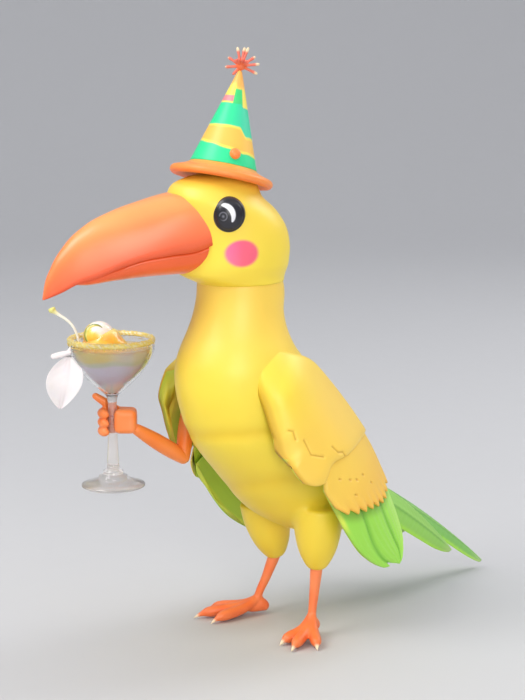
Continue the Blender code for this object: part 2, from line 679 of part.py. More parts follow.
def foot_tools(leg):
    """Heel, web and toes, which are joined to the shank and cut flat at the floor."""
    ahead = Vector((math.sin(leg.heading), -math.cos(leg.heading), 0))
    sole = Vector((leg.ankle.x, leg.ankle.y, 2.2))
    heel_path, heel_radii = capsule_path(sole, sole - ahead * 2.2, 2.9, 2.6)
    length = leg.toes[1][1]
    web = turned(((0, 2.8), (0.16 * length, 2.4), (0.30 * length, 1.2), (0.33 * length, -0.8),
                  (0, -0.8)), steps=14)
    web_place = Matrix.Translation((leg.ankle + ahead * length * 0.36).xy.to_3d())
    yield add_cutter(f"{leg.label}_heel", tube(heel_path, heel_radii, 8))
    yield add_cutter(f"{leg.label}_web", web, web_place)
    for number, (heading, reach) in enumerate(leg.toes, 1):
        yield add_cutter(f"{leg.label}_toe_{number}", toe(leg, heading, reach))


# A thigh's round end and swell: how far above the knee, and radius there
THIGH_STATIONS = ((-1.2, 3.6), (0.8, 4.8), (5.0, 6.9), (11.0, 8.7), (17.0, 9.5), (24.0, 9.5))


def legs(torso_space):
    floor = add_cutter("under_floor", box((-60, -60, -12), (60, 40, 0)))
    for leg in LEGS:
        path = [leg.knee + leg.up * lift for lift, _ in THIGH_STATIONS]
        radii = [radius for _, radius in THIGH_STATIONS]
        thigh = add_piece(f"{leg.label}_thigh", tube(path, radii, 16), "vinyl_yellow")
        shank_end = leg.knee + leg.up * 5.0
        space_ends = (leg.knee - leg.up * 4, shank_end + leg.up * GAP)
        shank_space = add_cutter(f"{leg.label}_shank_space",
                                 cylinder(LEG_RADIUS + GAP, *space_ends, 12))
        boolean(thigh, "DIFFERENCE", torso_space, shank_space,
                bpy.data.objects[f"{leg.label}_hip_peg_space"])
        add_piece(f"{leg.label}_hip_peg", hip_peg(leg, 0.42, 1.1, HIP_PEG_RADIUS), "steel")
        sole = Vector((leg.ankle.x * 0.98, leg.ankle.y * 0.98, 1.5))
        shank_path = [shank_end, leg.knee, leg.knee - leg.up * 2.5,
                      leg.ankle + Vector((0, 0, 2.0)), leg.ankle - Vector((0, 0, 1.5)), sole]
        shank_radii = (LEG_RADIUS, LEG_RADIUS, LEG_RADIUS, 2.0, 2.3, 3.0)
        shank = add_piece(f"{leg.label}_leg", tube(shank_path, shank_radii, 12), "vinyl_orange")
        boolean(shank, "UNION", *foot_tools(leg))
        boolean(shank, "DIFFERENCE", floor)


# ---------------------------------------------------------------- arm and hand

def lap_box(side, centre):
    """The half of an elbow or shoulder that belongs to the other piece."""
    reach = ELBOW_LAP
    x0, x1 = ((centre[0] - 6, centre[0] + GAP / 2) if side < 0
              else (centre[0] - GAP / 2, centre[0] + 6))
    return box((x0, centre[1] - reach, centre[2] - reach), (x1, centre[1] + reach, centre[2] + reach))


def pin_bar(centre, inner, outer, radius):
    """A pin along X, from inner to outer distances off the joint's centre."""
    return cylinder(radius, (centre[0] + inner, *centre[1:]), (centre[0] + outer, *centre[1:]), 14)


def arm(axes):
    shoulder, elbow, wrist = Vector(SHOULDER), Vector(ELBOW), Vector(WRIST)
    pin_space = ARM_PIN_RADIUS + GAP
    path, radii = capsule_path(shoulder, elbow, ARM_RADIUS + 0.2, ARM_RADIUS + 0.5, 4)
    upper = add_piece("upper_arm", tube(path, radii, 14), "vinyl_orange", parent=axes["shoulder"])
    boolean(upper, "DIFFERENCE", add_cutter("elbow_lap_outer", lap_box(-1, ELBOW)),
            add_cutter("elbow_pin_space", pin_bar(ELBOW, -2.3, 3.4, pin_space)),
            add_cutter("shoulder_pin_space", pin_bar(SHOULDER, -1.9, 8.0, pin_space)))
    path, radii = capsule_path(elbow, wrist, ARM_RADIUS + 0.5, ARM_RADIUS - 0.1, 4)
    fore = add_piece("forearm", tube(path, radii, 14), "vinyl_orange", parent=axes["elbow"])
    boolean(fore, "DIFFERENCE", add_cutter("elbow_lap_inner", lap_box(1, ELBOW)),
            bpy.data.objects["elbow_pin_space"])
    add_piece("elbow_pin", pin_bar(ELBOW, -2.0, 2.2, ARM_PIN_RADIUS), "steel",
              parent=axes["shoulder"])
    add_piece("shoulder_pin", pin_bar(SHOULDER, -1.6, 9.0, ARM_PIN_RADIUS), "steel")


def finger(height, reach=4.0, radius=1.85):
    """A finger curled round the stem from the palm's far side to its near side."""
    angles = [math.radians(60 + 235 * k / 7) for k in range(8)]
    path = [(reach * math.cos(turn), reach * math.sin(turn), height) for turn in angles]
    radii = [radius] * 6 + [radius * 0.9, radius * 0.6]
    return tube(path, radii, 8)


def hand(frame, axes):
    low, high = HAND_Z
    palm = box((0.6, -4.8, low), (9.4, 4.6, high))
    bmesh.ops.bevel(palm, geom=palm.edges[:], offset=2.2, segments=2, affect="EDGES")
    fist = add_piece("hand", palm, "vinyl_orange", frame["hand"], axes["elbow"])
    heights = [high - 1.9 - step * 3.5 for step in range(3)]
    tools = [add_cutter(f"finger_{number}", finger(height), frame["hand"])
             for number, height in enumerate(heights, 1)]
    path, radii = capsule_path((2.0, -3.4, high - 2.2), (-6.4, -3.0, high + 4.0), 1.9, 1.5)
    tools.append(add_cutter("thumb", tube(path, radii, 8), frame["hand"]))
    boolean(fist, "UNION", *tools)
    stem_low, stem_high = STEM_RADIUS + 0.7 + GAP, STEM_RADIUS + 0.45 + GAP
    stem = turned(((0, low - 9), (stem_low, low - 9), (stem_high, high + 9), (0, high + 9)), steps=16)
    path, radii = capsule_path(ELBOW, WRIST, ARM_RADIUS + 0.5 + GAP, ARM_RADIUS - 0.1 + GAP, 4)
    boolean(fist, "DIFFERENCE", add_cutter("stem_space", stem, frame["hand"]),
            add_cutter("forearm_space", tube(path, radii, 14)))


# ---------------------------------------------------------------- glass and garnish

BOWL = ((2.2, 98.4), (7.0, 102.6), (11.6, 107.4), (14.8, 111.8), (16.4, 115.6))
BALL = (-2.6, -4.2, 121.4)              # the fruit ball, from the glass axis
BALL_RADIUS = 5.9


def glass(frame, axes):
    place, axis = frame["glass"], axes["glass"]
    rim_radius = 16.5
    outside = [(0, GLASS_FOOT_Z), (11.8, GLASS_FOOT_Z), (12.5, 63.0), (12.0, 64.2),
               (5.6, 65.2), (5.3, 66.9), (3.9, 67.2), (3.7, 68.9), (2.5, 69.6),
               (STEM_RADIUS, 84.0), (STEM_RADIUS, 96.0)] + list(BOWL) + [(rim_radius, GLASS_RIM_Z)]
    inside = [(rim_radius - 1.1, GLASS_RIM_Z)] + [(radius - 1.2, height + 0.5)
                                                  for radius, height in reversed(BOWL[1:])]
    inside.append((0, 100.2))
    add_piece("cocktail_glass", turned(outside + inside), "clear_glass", place, axis)

    drink_side = [(radius - 1.2 - GAP, height + 0.7) for radius, height in BOWL[1:]]
    drink = turned([(0, 100.8)] + drink_side + [(rim_radius - 1.1 - GAP, DRINK_Z), (0, DRINK_Z)])
    drink_piece = add_piece("drink", drink, "drink_pink", place, axis)
    ball_space = bmesh.new()
    bmesh.ops.create_uvsphere(ball_space, u_segments=14, v_segments=8, radius=BALL_RADIUS + GAP)
    ball_cut = add_cutter("ball_space", ball_space, place @ Matrix.Translation(BALL))
    boolean(drink_piece, "DIFFERENCE", ball_cut)

    sugar = turned(((rim_radius - 1.1 - GAP, 119.2), (rim_radius - 1.1 - GAP, GLASS_RIM_Z + GAP),
                    (rim_radius + GAP, GLASS_RIM_Z + GAP), (rim_radius + GAP, 117.8),
                    (rim_radius + 1.0, 117.9), (rim_radius + 1.1, 120.6), (rim_radius - 0.2, 121.9),
                    (rim_radius - 1.7, 121.4), (rim_radius - 2.1, 119.4)), closed=True)
    add_piece("sugar_rim", sugar, "sugar_yellow", place, axis)

    ball = bmesh.new()
    bmesh.ops.create_uvsphere(ball, u_segments=14, v_segments=8, radius=BALL_RADIUS)
    add_piece("fruit_ball", ball, "fruit_orange", place @ Matrix.Translation(BALL), axis)
    return ball_cut


def garnish(frame, axes, ball_cut):
    place, axis = frame["glass"] @ Matrix.Rotation(HAND_YAW, 4, "Z"), axes["glass"]
    slice_frame = (place @ Matrix.Translation((-7.0, -3.6, 123.0)) @ Matrix.Rotation(math.radians(-28), 4, "Y")
                   @ Matrix.Rotation(math.radians(72), 4, "X"))
    wedge = turned(((0, -0.9), (3.6, -0.9), (4.1, -0.4), (4.1, 0.4), (3.6, 0.9), (0, 0.9)), 20)
    lime = add_piece("lime_slice", wedge, "lime_green", slice_frame, axis)
    boolean(lime, "DIFFERENCE", ball_cut)

    stick_path = [(-11.6, -6.3, 121.9), (-13.2, -6.5, 123.8), (-15.6, -6.6, 125.4), (-18.0, -6.4, 127.2),
                  (-20.2, -6.0, 129.6), (-21.6, -5.6, 132.0), (-22.4, -5.4, 133.4)]
    add_piece("garnish_stick", tube(stick_path, (0.7, 0.75, 0.8, 0.85, 1.0, 1.5, 1.1), 10),
              "lime_green", place, axis)

    blade = []
    for share in (0.0, 0.08, 0.2, 0.36, 0.52, 0.68, 0.82, 0.93, 1.0):
        half = 6.8 * math.sin(math.pi * (0.06 + 0.93 * share) ** 1.05) ** 0.8 + 0.3
        height = 116.4 - 21.6 * share
        drift = -18.6 + 1.2 * share
        bow = -0.8 + 1.6 * math.sin(math.pi * share)
        blade.append([(drift + half * edge, -7.4 - bow + lift - 1.6 * edge * edge, height) for edge, lift in
                      ((-1, -0.25), (-0.5, -0.55), (0, -0.6), (0.5, -0.55), (1, -0.25),
                       (1, 0.25), (0.5, 0.55), (0, 0.6), (-0.5, 0.55), (-1, 0.25))])
    leaf = add_piece("garnish_leaf", skin(bmesh.new(), blade), "leaf_white", place, axis)
    petiole, radii = capsule_path((-17.6, -7.2, 116.2), (-22.6, -6.4, 114.8), 0.75, 0.8)
    boolean(leaf, "UNION", add_cutter("petiole", tube(petiole, radii, 8), place))


# ---------------------------------------------------------------- the figure

def main():
    clear_scene()
    frame = frames()
    axes = joint_axes(frame)
    torso_space = add_cutter("torso_space", solid_of(TORSO_SECTIONS, GAP))
    peg_spaces = [add_cutter(f"wing_peg_space_{side}",
                             cylinder(WING_PEG_RADIUS + GAP, (side * 12, *WING_PEG), (side * 30, *WING_PEG)))
                  for side in (1, -1)]
    shoulder_space = add_cutter("shoulder_hole", pin_bar(SHOULDER, -4.0, 16.0, ARM_PIN_RADIUS + GAP))
    body(peg_spaces + [shoulder_space], hip_spaces())
    neck_parts(axes)
    head_space = head(frame, axes)
    hat(frame, axes, head_space)
    for side, label in ((1, "left"), (-1, "right")):
        wing(side, label, axes[side])
    tail()
    legs(torso_space)
    arm(axes)
    hand(frame, axes)
    ball_cut = glass(frame, axes)
    garnish(frame, axes, ball_cut)


main()
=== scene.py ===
"""Looks of the toucan party figure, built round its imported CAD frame.

Shapes are worked out in the figure's millimetres, as in the CAD source: floor at Z = 0,
the bird faces -Y and its left side is +X. An object's own axes are those of the piece it
belongs to (head, hat, hand), so patterns are painted in that piece's own coordinates.
"""
import json
import math

import bmesh
import bpy
import numpy as np
from mathutils import Matrix, Vector


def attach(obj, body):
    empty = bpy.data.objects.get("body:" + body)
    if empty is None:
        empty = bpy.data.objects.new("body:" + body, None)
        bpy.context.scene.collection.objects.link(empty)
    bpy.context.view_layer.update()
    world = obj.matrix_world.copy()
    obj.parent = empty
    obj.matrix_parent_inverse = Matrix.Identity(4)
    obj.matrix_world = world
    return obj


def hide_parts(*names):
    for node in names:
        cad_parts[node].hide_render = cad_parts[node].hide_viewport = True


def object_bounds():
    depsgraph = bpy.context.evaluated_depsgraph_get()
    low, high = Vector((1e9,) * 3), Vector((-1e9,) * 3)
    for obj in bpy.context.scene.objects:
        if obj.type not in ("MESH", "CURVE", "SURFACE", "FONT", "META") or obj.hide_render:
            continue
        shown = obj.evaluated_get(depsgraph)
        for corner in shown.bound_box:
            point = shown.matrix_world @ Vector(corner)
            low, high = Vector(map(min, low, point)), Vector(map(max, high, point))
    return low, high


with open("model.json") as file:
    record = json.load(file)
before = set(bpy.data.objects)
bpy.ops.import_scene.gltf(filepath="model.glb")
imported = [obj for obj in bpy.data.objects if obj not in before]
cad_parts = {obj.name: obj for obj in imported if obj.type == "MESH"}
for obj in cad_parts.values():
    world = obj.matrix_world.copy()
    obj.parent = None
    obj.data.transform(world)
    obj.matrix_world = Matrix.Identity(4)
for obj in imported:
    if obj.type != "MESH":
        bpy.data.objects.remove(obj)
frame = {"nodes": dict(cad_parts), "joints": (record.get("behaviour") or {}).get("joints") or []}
cad_low, cad_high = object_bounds()

MM = 0.001
JOINTS = {joint["name"]: joint for joint in frame["joints"]}
NECK = Vector((0.0, -28.5, 146.0))      # the neck joint in the figure's millimetres
ORIGIN = Vector(JOINTS["neck_swivel"]["pos_m"]) - NECK * MM
JAW_AXIS = JOINTS["jaw_hinge"]["axis"]
HEAD_YAW = math.atan2(JAW_AXIS[1], JAW_AXIS[0])
HAT_LEAN, HAT_ROLL = math.radians(13.2), math.radians(5.5)
HAND_YAW = math.radians(48)
GLASS_AXIS = (-34.0, -64.5, 0.0)

BODY = Matrix.Identity(4)
HEAD = Matrix.Translation((0, NECK.y, 0)) @ Matrix.Rotation(HEAD_YAW, 4, "Z")
HAT = (HEAD @ Matrix.Translation((0, -7.6, 181.6)) @ Matrix.Rotation(-HAT_LEAN, 4, "X")
       @ Matrix.Rotation(-HAT_ROLL, 4, "Y"))
GLASS = Matrix.Translation(GLASS_AXIS)
HAND = GLASS @ Matrix.Rotation(HAND_YAW, 4, "Z")


# ---------------------------------------------------------------- numbers and curves

def tone(red, green, blue):
    """A colour from its 0 to 255 screen values, as linear light."""
    shares = np.array((red, green, blue)) / 255.0
    return np.where(shares <= 0.04045, shares / 12.92, ((shares + 0.055) / 1.055) ** 2.4)


def step(low, high, value):
    """0 below low, 1 above high, and smooth between them."""
    share = np.clip((np.asarray(value, float) - low) / (high - low), 0, 1)
    return share * share * (3 - 2 * share)


def mixed(first, second, share):
    """Colours blended point by point."""
    share = np.asarray(share, float)[..., None]
    return first * (1 - share) + second * share


def hump(value, centre, width):
    return np.exp(-((np.asarray(value, float) - centre) / width) ** 2)


def eased(table, at):
    """A smooth curve through rows of (key, value, ...), read at the given keys."""
    table = np.array(table, float)
    keys, values = table[:, 0], table[:, 1:]
    slopes = np.gradient(values, keys, axis=0)
    at = np.clip(np.atleast_1d(np.asarray(at, float)), keys[0], keys[-1])
    i = np.clip(np.searchsorted(keys, at) - 1, 0, len(keys) - 2)
    width = (keys[i + 1] - keys[i])[:, None]
    t = (at - keys[i])[:, None] / width
    return ((2 * t ** 3 - 3 * t ** 2 + 1) * values[i] + (t ** 3 - 2 * t ** 2 + t) * width * slopes[i]
            + (3 * t ** 2 - 2 * t ** 3) * values[i + 1] + (t ** 3 - t ** 2) * width * slopes[i + 1])


def along(rows, count):
    """count evenly spaced points on the smooth curve through rows."""
    rows = np.array(rows, float)
    lengths = np.concatenate([[0], np.cumsum(np.linalg.norm(np.diff(rows, axis=0), axis=1))])
    return eased(np.column_stack([lengths, rows]), np.linspace(0, lengths[-1], count))


def looked_up(table, at):
    """The one value column of a table, at keys of any shape."""
    at = np.asarray(at, float)
    return eased(table, at.ravel())[:, 0].reshape(at.shape)


def rounding(distance, radius):
    """How far a quarter-round edge falls at a distance from the edge, from 1 to 0."""
    short = np.clip(1 - distance / radius, 0, 1)
    return 1 - np.sqrt(np.clip(1 - short * short, 0, 1))


def near_segment(points, start, end):
    start, end = np.array(start), np.array(end)
    way = end - start
    share = np.clip((points - start) @ way / (way @ way), 0, 1)
    return np.linalg.norm(points - start - np.outer(share, way), axis=1)


def value_noise(points, scale, seed=0.0):
    """A smooth wave-like noise from -1 to 1, the same on each run."""
    p = np.asarray(points, float) / scale + seed
    return (np.sin(p[:, 0] * 1.7 + np.sin(p[:, 1] * 2.3 + seed))
            * np.cos(p[:, 2] * 2.1 + np.sin(p[:, 0] * 1.3)) * 0.6
            + np.sin(p[:, 1] * 3.1 + p[:, 2] * 2.7) * 0.4)


# ---------------------------------------------------------------- meshes

def grid(rows, closed=True, poles=True):
    """Vertices and faces over rows of points; poles close the first and the last row."""
    rows = np.asarray(rows, float)
    count, across, _ = rows.shape
    index = np.arange(count * across).reshape(count, across)
    following = np.roll(index, -1, axis=1) if closed else index[:, 1:]
    here = index if closed else index[:, :-1]
    faces = np.stack([here[:-1], following[:-1], following[1:], here[1:]], -1).reshape(-1, 4).tolist()
    points = rows.reshape(-1, 3)
    if poles:
        points = np.vstack([points, rows[0].mean(0), rows[-1].mean(0)])
        first, last = count * across, count * across + 1
        faces += [[first, index[0, (k + 1) % across], index[0, k]] for k in range(across)]
        faces += [[last, index[-1, k], index[-1, (k + 1) % across]] for k in range(across)]
    return points, faces


def merged(shapes):
    """Several (points, faces) shapes as one."""
    points, faces, base = [], [], 0
    for part_points, part_faces in shapes:
        points.append(part_points)
        faces += [[base + corner for corner in face] for face in part_faces]
        base += len(part_points)
    return np.vstack(points), faces


def turned(profile, count):
    """Rows of points: a profile of (radius, height) turned round Z."""
    profile = np.array(profile, float)
    turns = np.linspace(0, math.tau, count, endpoint=False)
    return np.stack([np.outer(profile[:, 0], np.cos(turns)), np.outer(profile[:, 0], np.sin(turns)),
                     np.repeat(profile[:, 1:], count, axis=1)], -1)


def lathe(profile, count=96):
    """A turned profile whose ends lie on the axis and become poles."""
    return grid(turned(profile, count))


def ring_profile(profile, count=96):
    """A turned profile that closes on itself and doesn't touch the axis."""
    return grid(turned([*profile, profile[0]], count), poles=False)


def rod(path, radii, sides=24, steps=40, flatten=1.0):
    """A round bar whose middle line and radius run smoothly through the given stations."""
    line = along(np.column_stack([path, radii]), steps)
    points, sizes = line[:, :3], np.maximum(line[:, 3], 0.02)
    tangents = np.gradient(points, axis=0)
    tangents /= np.linalg.norm(tangents, axis=1)[:, None]
    side = np.array(Vector(tangents[0]).orthogonal().normalized())
    rows = []
    turns = np.linspace(0, math.tau, sides, endpoint=False)
    for point, size, tangent in zip(points, sizes, tangents):
        side = side - tangent * (side @ tangent)
        side /= np.linalg.norm(side)
        up = np.cross(tangent, side)
        rows.append(point + size * (np.outer(np.cos(turns), side)
                                    + flatten * np.outer(np.sin(turns), up)))
    return grid(rows)


def capsule(start, end, radius, end_radius=None, sides=24):
    """A straight bar with round ends."""
    start, end = np.array(start, float), np.array(end, float)
    end_radius = radius if end_radius is None else end_radius
    way = (end - start) / np.linalg.norm(end - start)
    turns = np.linspace(0.12, math.pi / 2, 7)
    path = [start - way * radius * math.cos(turn) for turn in turns]
    path += [end + way * end_radius * math.cos(turn) for turn in turns[::-1]]
    radii = [radius * math.sin(turn) for turn in turns]
    radii += [end_radius * math.sin(turn) for turn in turns[::-1]]
    return rod(path, radii, sides, 36)


def rounded_box(low, high, edge):
    bm = bmesh.new()
    bmesh.ops.create_cube(bm, size=1.0)
    low, high = Vector(low), Vector(high)
    bm.transform(Matrix.Translation((low + high) / 2) @ Matrix.Diagonal((*(high - low), 1.0)))
    bmesh.ops.bevel(bm, geom=bm.edges[:], offset=edge, segments=5, affect="EDGES", profile=0.5)
    points = np.array([vert.co for vert in bm.verts])
    bm.verts.index_update()
    faces = [[vert.index for vert in face.verts] for face in bm.faces]
    bm.free()
    return points, faces


def fused(shapes, voxel, rounds, weight=None):
    """Shapes melted into one skin, whose joins are softened by relaxing the points."""
    points, faces = merged(shapes)
    mesh = bpy.data.meshes.new("melt")
    mesh.from_pydata((points * MM).tolist(), [], faces)
    melt = bpy.data.objects.new("melt", mesh)
    bpy.context.collection.objects.link(melt)
    remesh = melt.modifiers.new("melt", "REMESH")
    remesh.mode = "VOXEL"
    remesh.voxel_size = voxel * MM
    bpy.context.view_layer.update()
    result = melt.evaluated_get(bpy.context.evaluated_depsgraph_get()).to_mesh()
    points = np.zeros(len(result.vertices) * 3)
    result.vertices.foreach_get("co", points)
    points = points.reshape(-1, 3) / MM
    edges = np.zeros(len(result.edges) * 2, int)
    result.edges.foreach_get("vertices", edges)
    edges = edges.reshape(-1, 2)
    faces = [list(face.vertices) for face in result.polygons]
    bpy.data.objects.remove(melt, do_unlink=True)
    bpy.data.meshes.remove(mesh)
    share = np.ones(len(points)) if weight is None else weight(points)
    degree = np.bincount(edges.ravel(), minlength=len(points))[:, None]
    for _ in range(rounds):
        total = np.stack([np.bincount(edges[:, 0], points[edges[:, 1], k], len(points))
                          + np.bincount(edges[:, 1], points[edges[:, 0], k], len(points))
                          for k in range(3)], -1)
        points = points + 0.5 * share[:, None] * (total / degree - points)
    return points, faces


def piece(name, shape, place, body, finish, paint, nodes=()):
    """One visible piece: paint(points) gives its colours in the piece's own millimetres."""
    points, faces = shape
    mesh = bpy.data.meshes.new(name)
    mesh.from_pydata((points * MM).tolist(), [], faces)
    mesh.validate()
    bm = bmesh.new()
    bm.from_mesh(mesh)
    bmesh.ops.recalc_face_normals(bm, faces=bm.faces)
    bm.to_mesh(mesh)
    bm.free()
    mesh.shade_smooth()
    colours = np.ones((len(mesh.vertices), 4), np.float32)
    colours[:, :3] = np.clip(paint(points[:len(mesh.vertices)]), 0, 1)
    attribute = mesh.color_attributes.new("paint", "FLOAT_COLOR", "POINT")
    attribute.data.foreach_set("color", colours.ravel())
    mesh.materials.append(finish)
    made = bpy.data.objects.new(name, mesh)
    bpy.context.collection.objects.link(made)
    location, rotation, _ = place.decompose()
    made.matrix_world = Matrix.LocRotScale(ORIGIN + location * MM, rotation, None)
    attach(made, body)
    if nodes:
        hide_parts(*nodes)
    return made


def plain(colour):
    return lambda points: np.tile(colour, (len(points), 1))


# ---------------------------------------------------------------- materials

def new_material(name):
    made = bpy.data.materials.new(name)
    made.use_nodes = True
    return made, made.node_tree.nodes, made.node_tree.links, made.node_tree.nodes["Principled BSDF"]


def set_inputs(node, **values):
    """Set a node's inputs, named with _ for each space."""
    for name, value in values.items():
        node.inputs[name.replace("_", " ")].default_value = value


def grain_nodes(nodes, links, shader, scale, depth, rough_low, rough_high):
    """Fine bumps and a roughness that wanders between two values."""
    coordinates = nodes.new("ShaderNodeTexCoord")
    fine = nodes.new("ShaderNodeTexNoise")
    set_inputs(fine, Scale=scale, Detail=4.0)
    bump = nodes.new("ShaderNodeBump")
    set_inputs(bump, Strength=depth, Distance=0.0004)
    broad = nodes.new("ShaderNodeTexNoise")
    set_inputs(broad, Scale=90.0, Detail=3.0)
    spread = nodes.new("ShaderNodeMapRange")
    set_inputs(spread, To_Min=rough_low, To_Max=rough_high)
    links.new(coordinates.outputs["Object"], fine.inputs["Vector"])
    links.new(coordinates.outputs["Object"], broad.inputs["Vector"])
    links.new(fine.outputs["Fac"], bump.inputs["Height"])
    links.new(bump.outputs["Normal"], shader.inputs["Normal"])
    links.new(broad.outputs["Fac"], spread.inputs["Value"])
    links.new(spread.outputs["Result"], shader.inputs["Roughness"])
    return broad


def mottled(nodes, links, shader, colour_socket, broad, amount):
    """Base colour with faint lighter and darker clouds, as in pigmented vinyl."""
    swing = nodes.new("ShaderNodeMapRange")
    set_inputs(swing, To_Min=1.0 - amount, To_Max=1.0 + amount)
    scaled = nodes.new("ShaderNodeVectorMath")
    scaled.operation = "SCALE"
    links.new(broad.outputs["Fac"], swing.inputs["Value"])
    links.new(colour_socket, scaled.inputs[0])
    links.new(swing.outputs["Result"], scaled.inputs["Scale"])
    links.new(scaled.outputs["Vector"], shader.inputs["Base Color"])


def painted(name, rough=(0.38, 0.5), soft=0.08, gloss=0.1, grain=420.0, depth=0.05, mottle=0.03):
    """Moulded vinyl whose colour is painted on the piece."""
    made, nodes, links, shader = new_material(name)
    broad = grain_nodes(nodes, links, shader, grain, depth, *rough)
    colour = nodes.new("ShaderNodeAttribute")
    colour.attribute_name = "paint"
    mottled(nodes, links, shader, colour.outputs["Color"], broad, mottle)
    set_inputs(shader, Subsurface_Weight=soft, Subsurface_Radius=(1.0, 0.55, 0.25),
               Subsurface_Scale=0.003, Coat_Weight=gloss, Coat_Roughness=0.3)
    return made


def plain_material(name, colour, metallic=0.0, rough=(0.4, 0.5)):
    """For carried-over CAD nodes: one pigment with clouds and fine grain."""
    made, nodes, links, shader = new_material(name)
    broad = grain_nodes(nodes, links, shader, 600.0, 0.08, *rough)
    tint = nodes.new("ShaderNodeRGB")
    tint.outputs[0].default_value = (*colour, 1.0)
    mottled(nodes, links, shader, tint.outputs[0], broad, 0.06)
    set_inputs(shader, Metallic=metallic)
    return made


def clear_material(name, rough, tint, through):
    made, nodes, links, shader = new_material(name)
    grain_nodes(nodes, links, shader, 160.0, 0.06, rough, rough + 0.05)
    set_inputs(shader, Base_Color=(*tint, 1.0), Transmission_Weight=through, IOR=1.45)
    return made


def drink_material():
    made, nodes, links, shader = new_material("drink_liquid")
    grain_nodes(nodes, links, shader, 260.0, 0.15, 0.12, 0.22)
    colour = nodes.new("ShaderNodeAttribute")
    colour.attribute_name = "paint"
    links.new(colour.outputs["Color"], shader.inputs["Base Color"])
    set_inputs(shader, Transmission_Weight=0.12, Subsurface_Weight=0.3, Subsurface_Scale=0.006,
               IOR=1.34)
    return made


VINYL = painted("vinyl_body")
BEAK_VINYL = painted("vinyl_beak", rough=(0.3, 0.42), gloss=0.2)
LIMB_VINYL = painted("vinyl_limbs", rough=(0.36, 0.48), depth=0.08)
WING_VINYL = painted("vinyl_wing", rough=(0.4, 0.52), depth=0.07)
HAT_PAINT = painted("hat_paint", rough=(0.4, 0.55), gloss=0.15, depth=0.1)
EYE_GLOSS = painted("eye_gloss", rough=(0.26, 0.34), soft=0.0, gloss=0.2, depth=0.02, mottle=0.04)
LEAF_FINISH = painted("leaf_finish", rough=(0.5, 0.6), depth=0.15)
FRUIT_GLOSS = painted("fruit_gloss", rough=(0.15, 0.25), soft=0.3, gloss=0.5, grain=700.0, depth=0.1)
SUGAR = painted("sugar_crystals", rough=(0.25, 0.45), soft=0.35, gloss=0.3, depth=0.3, mottle=0.1)
GLASS_CLEAR = clear_material("clear_glass_shell", 0.02, (0.97, 0.98, 0.98), 0.97)
GLASS_MILKY = clear_material("milky_glass_stem", 0.1, (0.94, 0.91, 0.89), 0.85)
DRINK = drink_material()
STEEL = plain_material("turned_steel", (0.55, 0.55, 0.57), 1.0, (0.25, 0.35))
IRON = plain_material("cast_iron_rough", (0.06, 0.06, 0.065), 0.8, (0.55, 0.7))
INNER_YELLOW = plain_material("inner_vinyl", (0.85, 0.6, 0.1))
INNER_ORANGE = plain_material("inner_orange", (0.9, 0.3, 0.07))

YELLOW = tone(250, 221, 66)
YELLOW_LIGHT = tone(252, 232, 100)
# Painted shade: darker yellow for the lower body, the belly folds and the chin under the beak
YELLOW_SHADE = tone(236, 196, 32)
YELLOW_WARM = tone(251, 208, 84)
# Painted shade for the crease at the mouth's corner
ORANGE_CREASE_SHADE = tone(242, 100, 40)
PEACH = tone(255, 158, 100)
GREEN = tone(160, 226, 78)
# Painted shade and painted highlight for the long green feathers
GREEN_SHADE = tone(120, 190, 58)
GREEN_HIGHLIGHT = tone(184, 238, 104)
OLIVE = tone(196, 224, 70)
LIME_RIM = tone(220, 238, 84)
CREAM = tone(247, 226, 190)


# ---------------------------------------------------------------- body

# Height, middle in Y, half width, half depth
BODY_ROWS = ((34.8, 21.5, 2.0, 3.0), (37.0, 21.0, 6.5, 8.5), (40.0, 17.0, 13.0, 17.5),
             (45.0, 12.0, 17.6, 23.2), (51.0, 6.8, 20.6, 27.2), (58.0, 1.2, 23.2, 28.8),
             (67.0, -5.4, 25.0, 29.4), (76.0, -13.0, 25.5, 29.6), (84.0, -19.2, 25.3, 29.2),
             (92.0, -22.8, 24.8, 28.8), (103.0, -26.4, 24.2, 28.2), (111.0, -28.0, 23.6, 26.6),
             (118.0, -29.6, 21.4, 22.7), (125.0, -29.6, 18.8, 19.4), (132.0, -29.0, 17.2, 17.4),
             (139.0, -28.0, 16.7, 17.0), (142.6, -28.2, 16.5, 16.7), (146.0, -28.5, 15.8, 15.8))
BELLY_FOLDS = ((86.0, 0.12, 0.55, 2.6), (62.8, 0.24, 0.5, 3.0))   # height, tilt, depth, half width
LEG_LINES = {"left": ((17.8, -3.2, 50.0), (17.4, -3.5, 29.6), (17.4, -6.0, 8.0)),
             "right": ((-17.6, -0.2, 46.0), (-15.9, 4.8, 25.6), (-18.6, -2.6, 6.5))}
THIGH_STATIONS = ((-1.9, 1.2), (-1.5, 3.0), (-0.6, 4.1), (0.8, 5.0), (5.0, 7.1), (11.0, 8.8), (17.0, 9.6),
                  (24.0, 9.5))


def elliptic_rows(sections, count, across):
    """Rings through smooth sections; angle 0 looks along -Y and grows towards +X."""
    line = along(sections, count)
    turns = np.linspace(0, math.tau, across, endpoint=False)
    x = np.outer(line[:, 2], np.sin(turns))
    y = line[:, 1][:, None] - np.outer(line[:, 3], np.cos(turns))
    z = np.repeat(line[:, :1], across, axis=1)
    return np.stack([x, y, z], -1), turns


def leg_line(label):
    hip, knee, ankle = (np.array(point) for point in LEG_LINES[label])
    up = (hip - knee) / np.linalg.norm(hip - knee)
    return knee, up, ankle


def fold_band(points, height, tilt, width):
    return hump(points[..., 2] - tilt * points[..., 0], height, width)


def body_shape():
    rows, turns = elliptic_rows(BODY_ROWS, 130, 120)
    front = step(-0.2, 0.6, np.cos(turns))[None, :]
    sink = sum(depth * fold_band(rows, height, tilt, width) for height, tilt, depth, width in BELLY_FOLDS)
    outward = np.stack([np.sin(turns), -np.cos(turns)], -1)[None]
    rows[..., :2] -= outward * (sink * front)[..., None]
    return grid(rows)


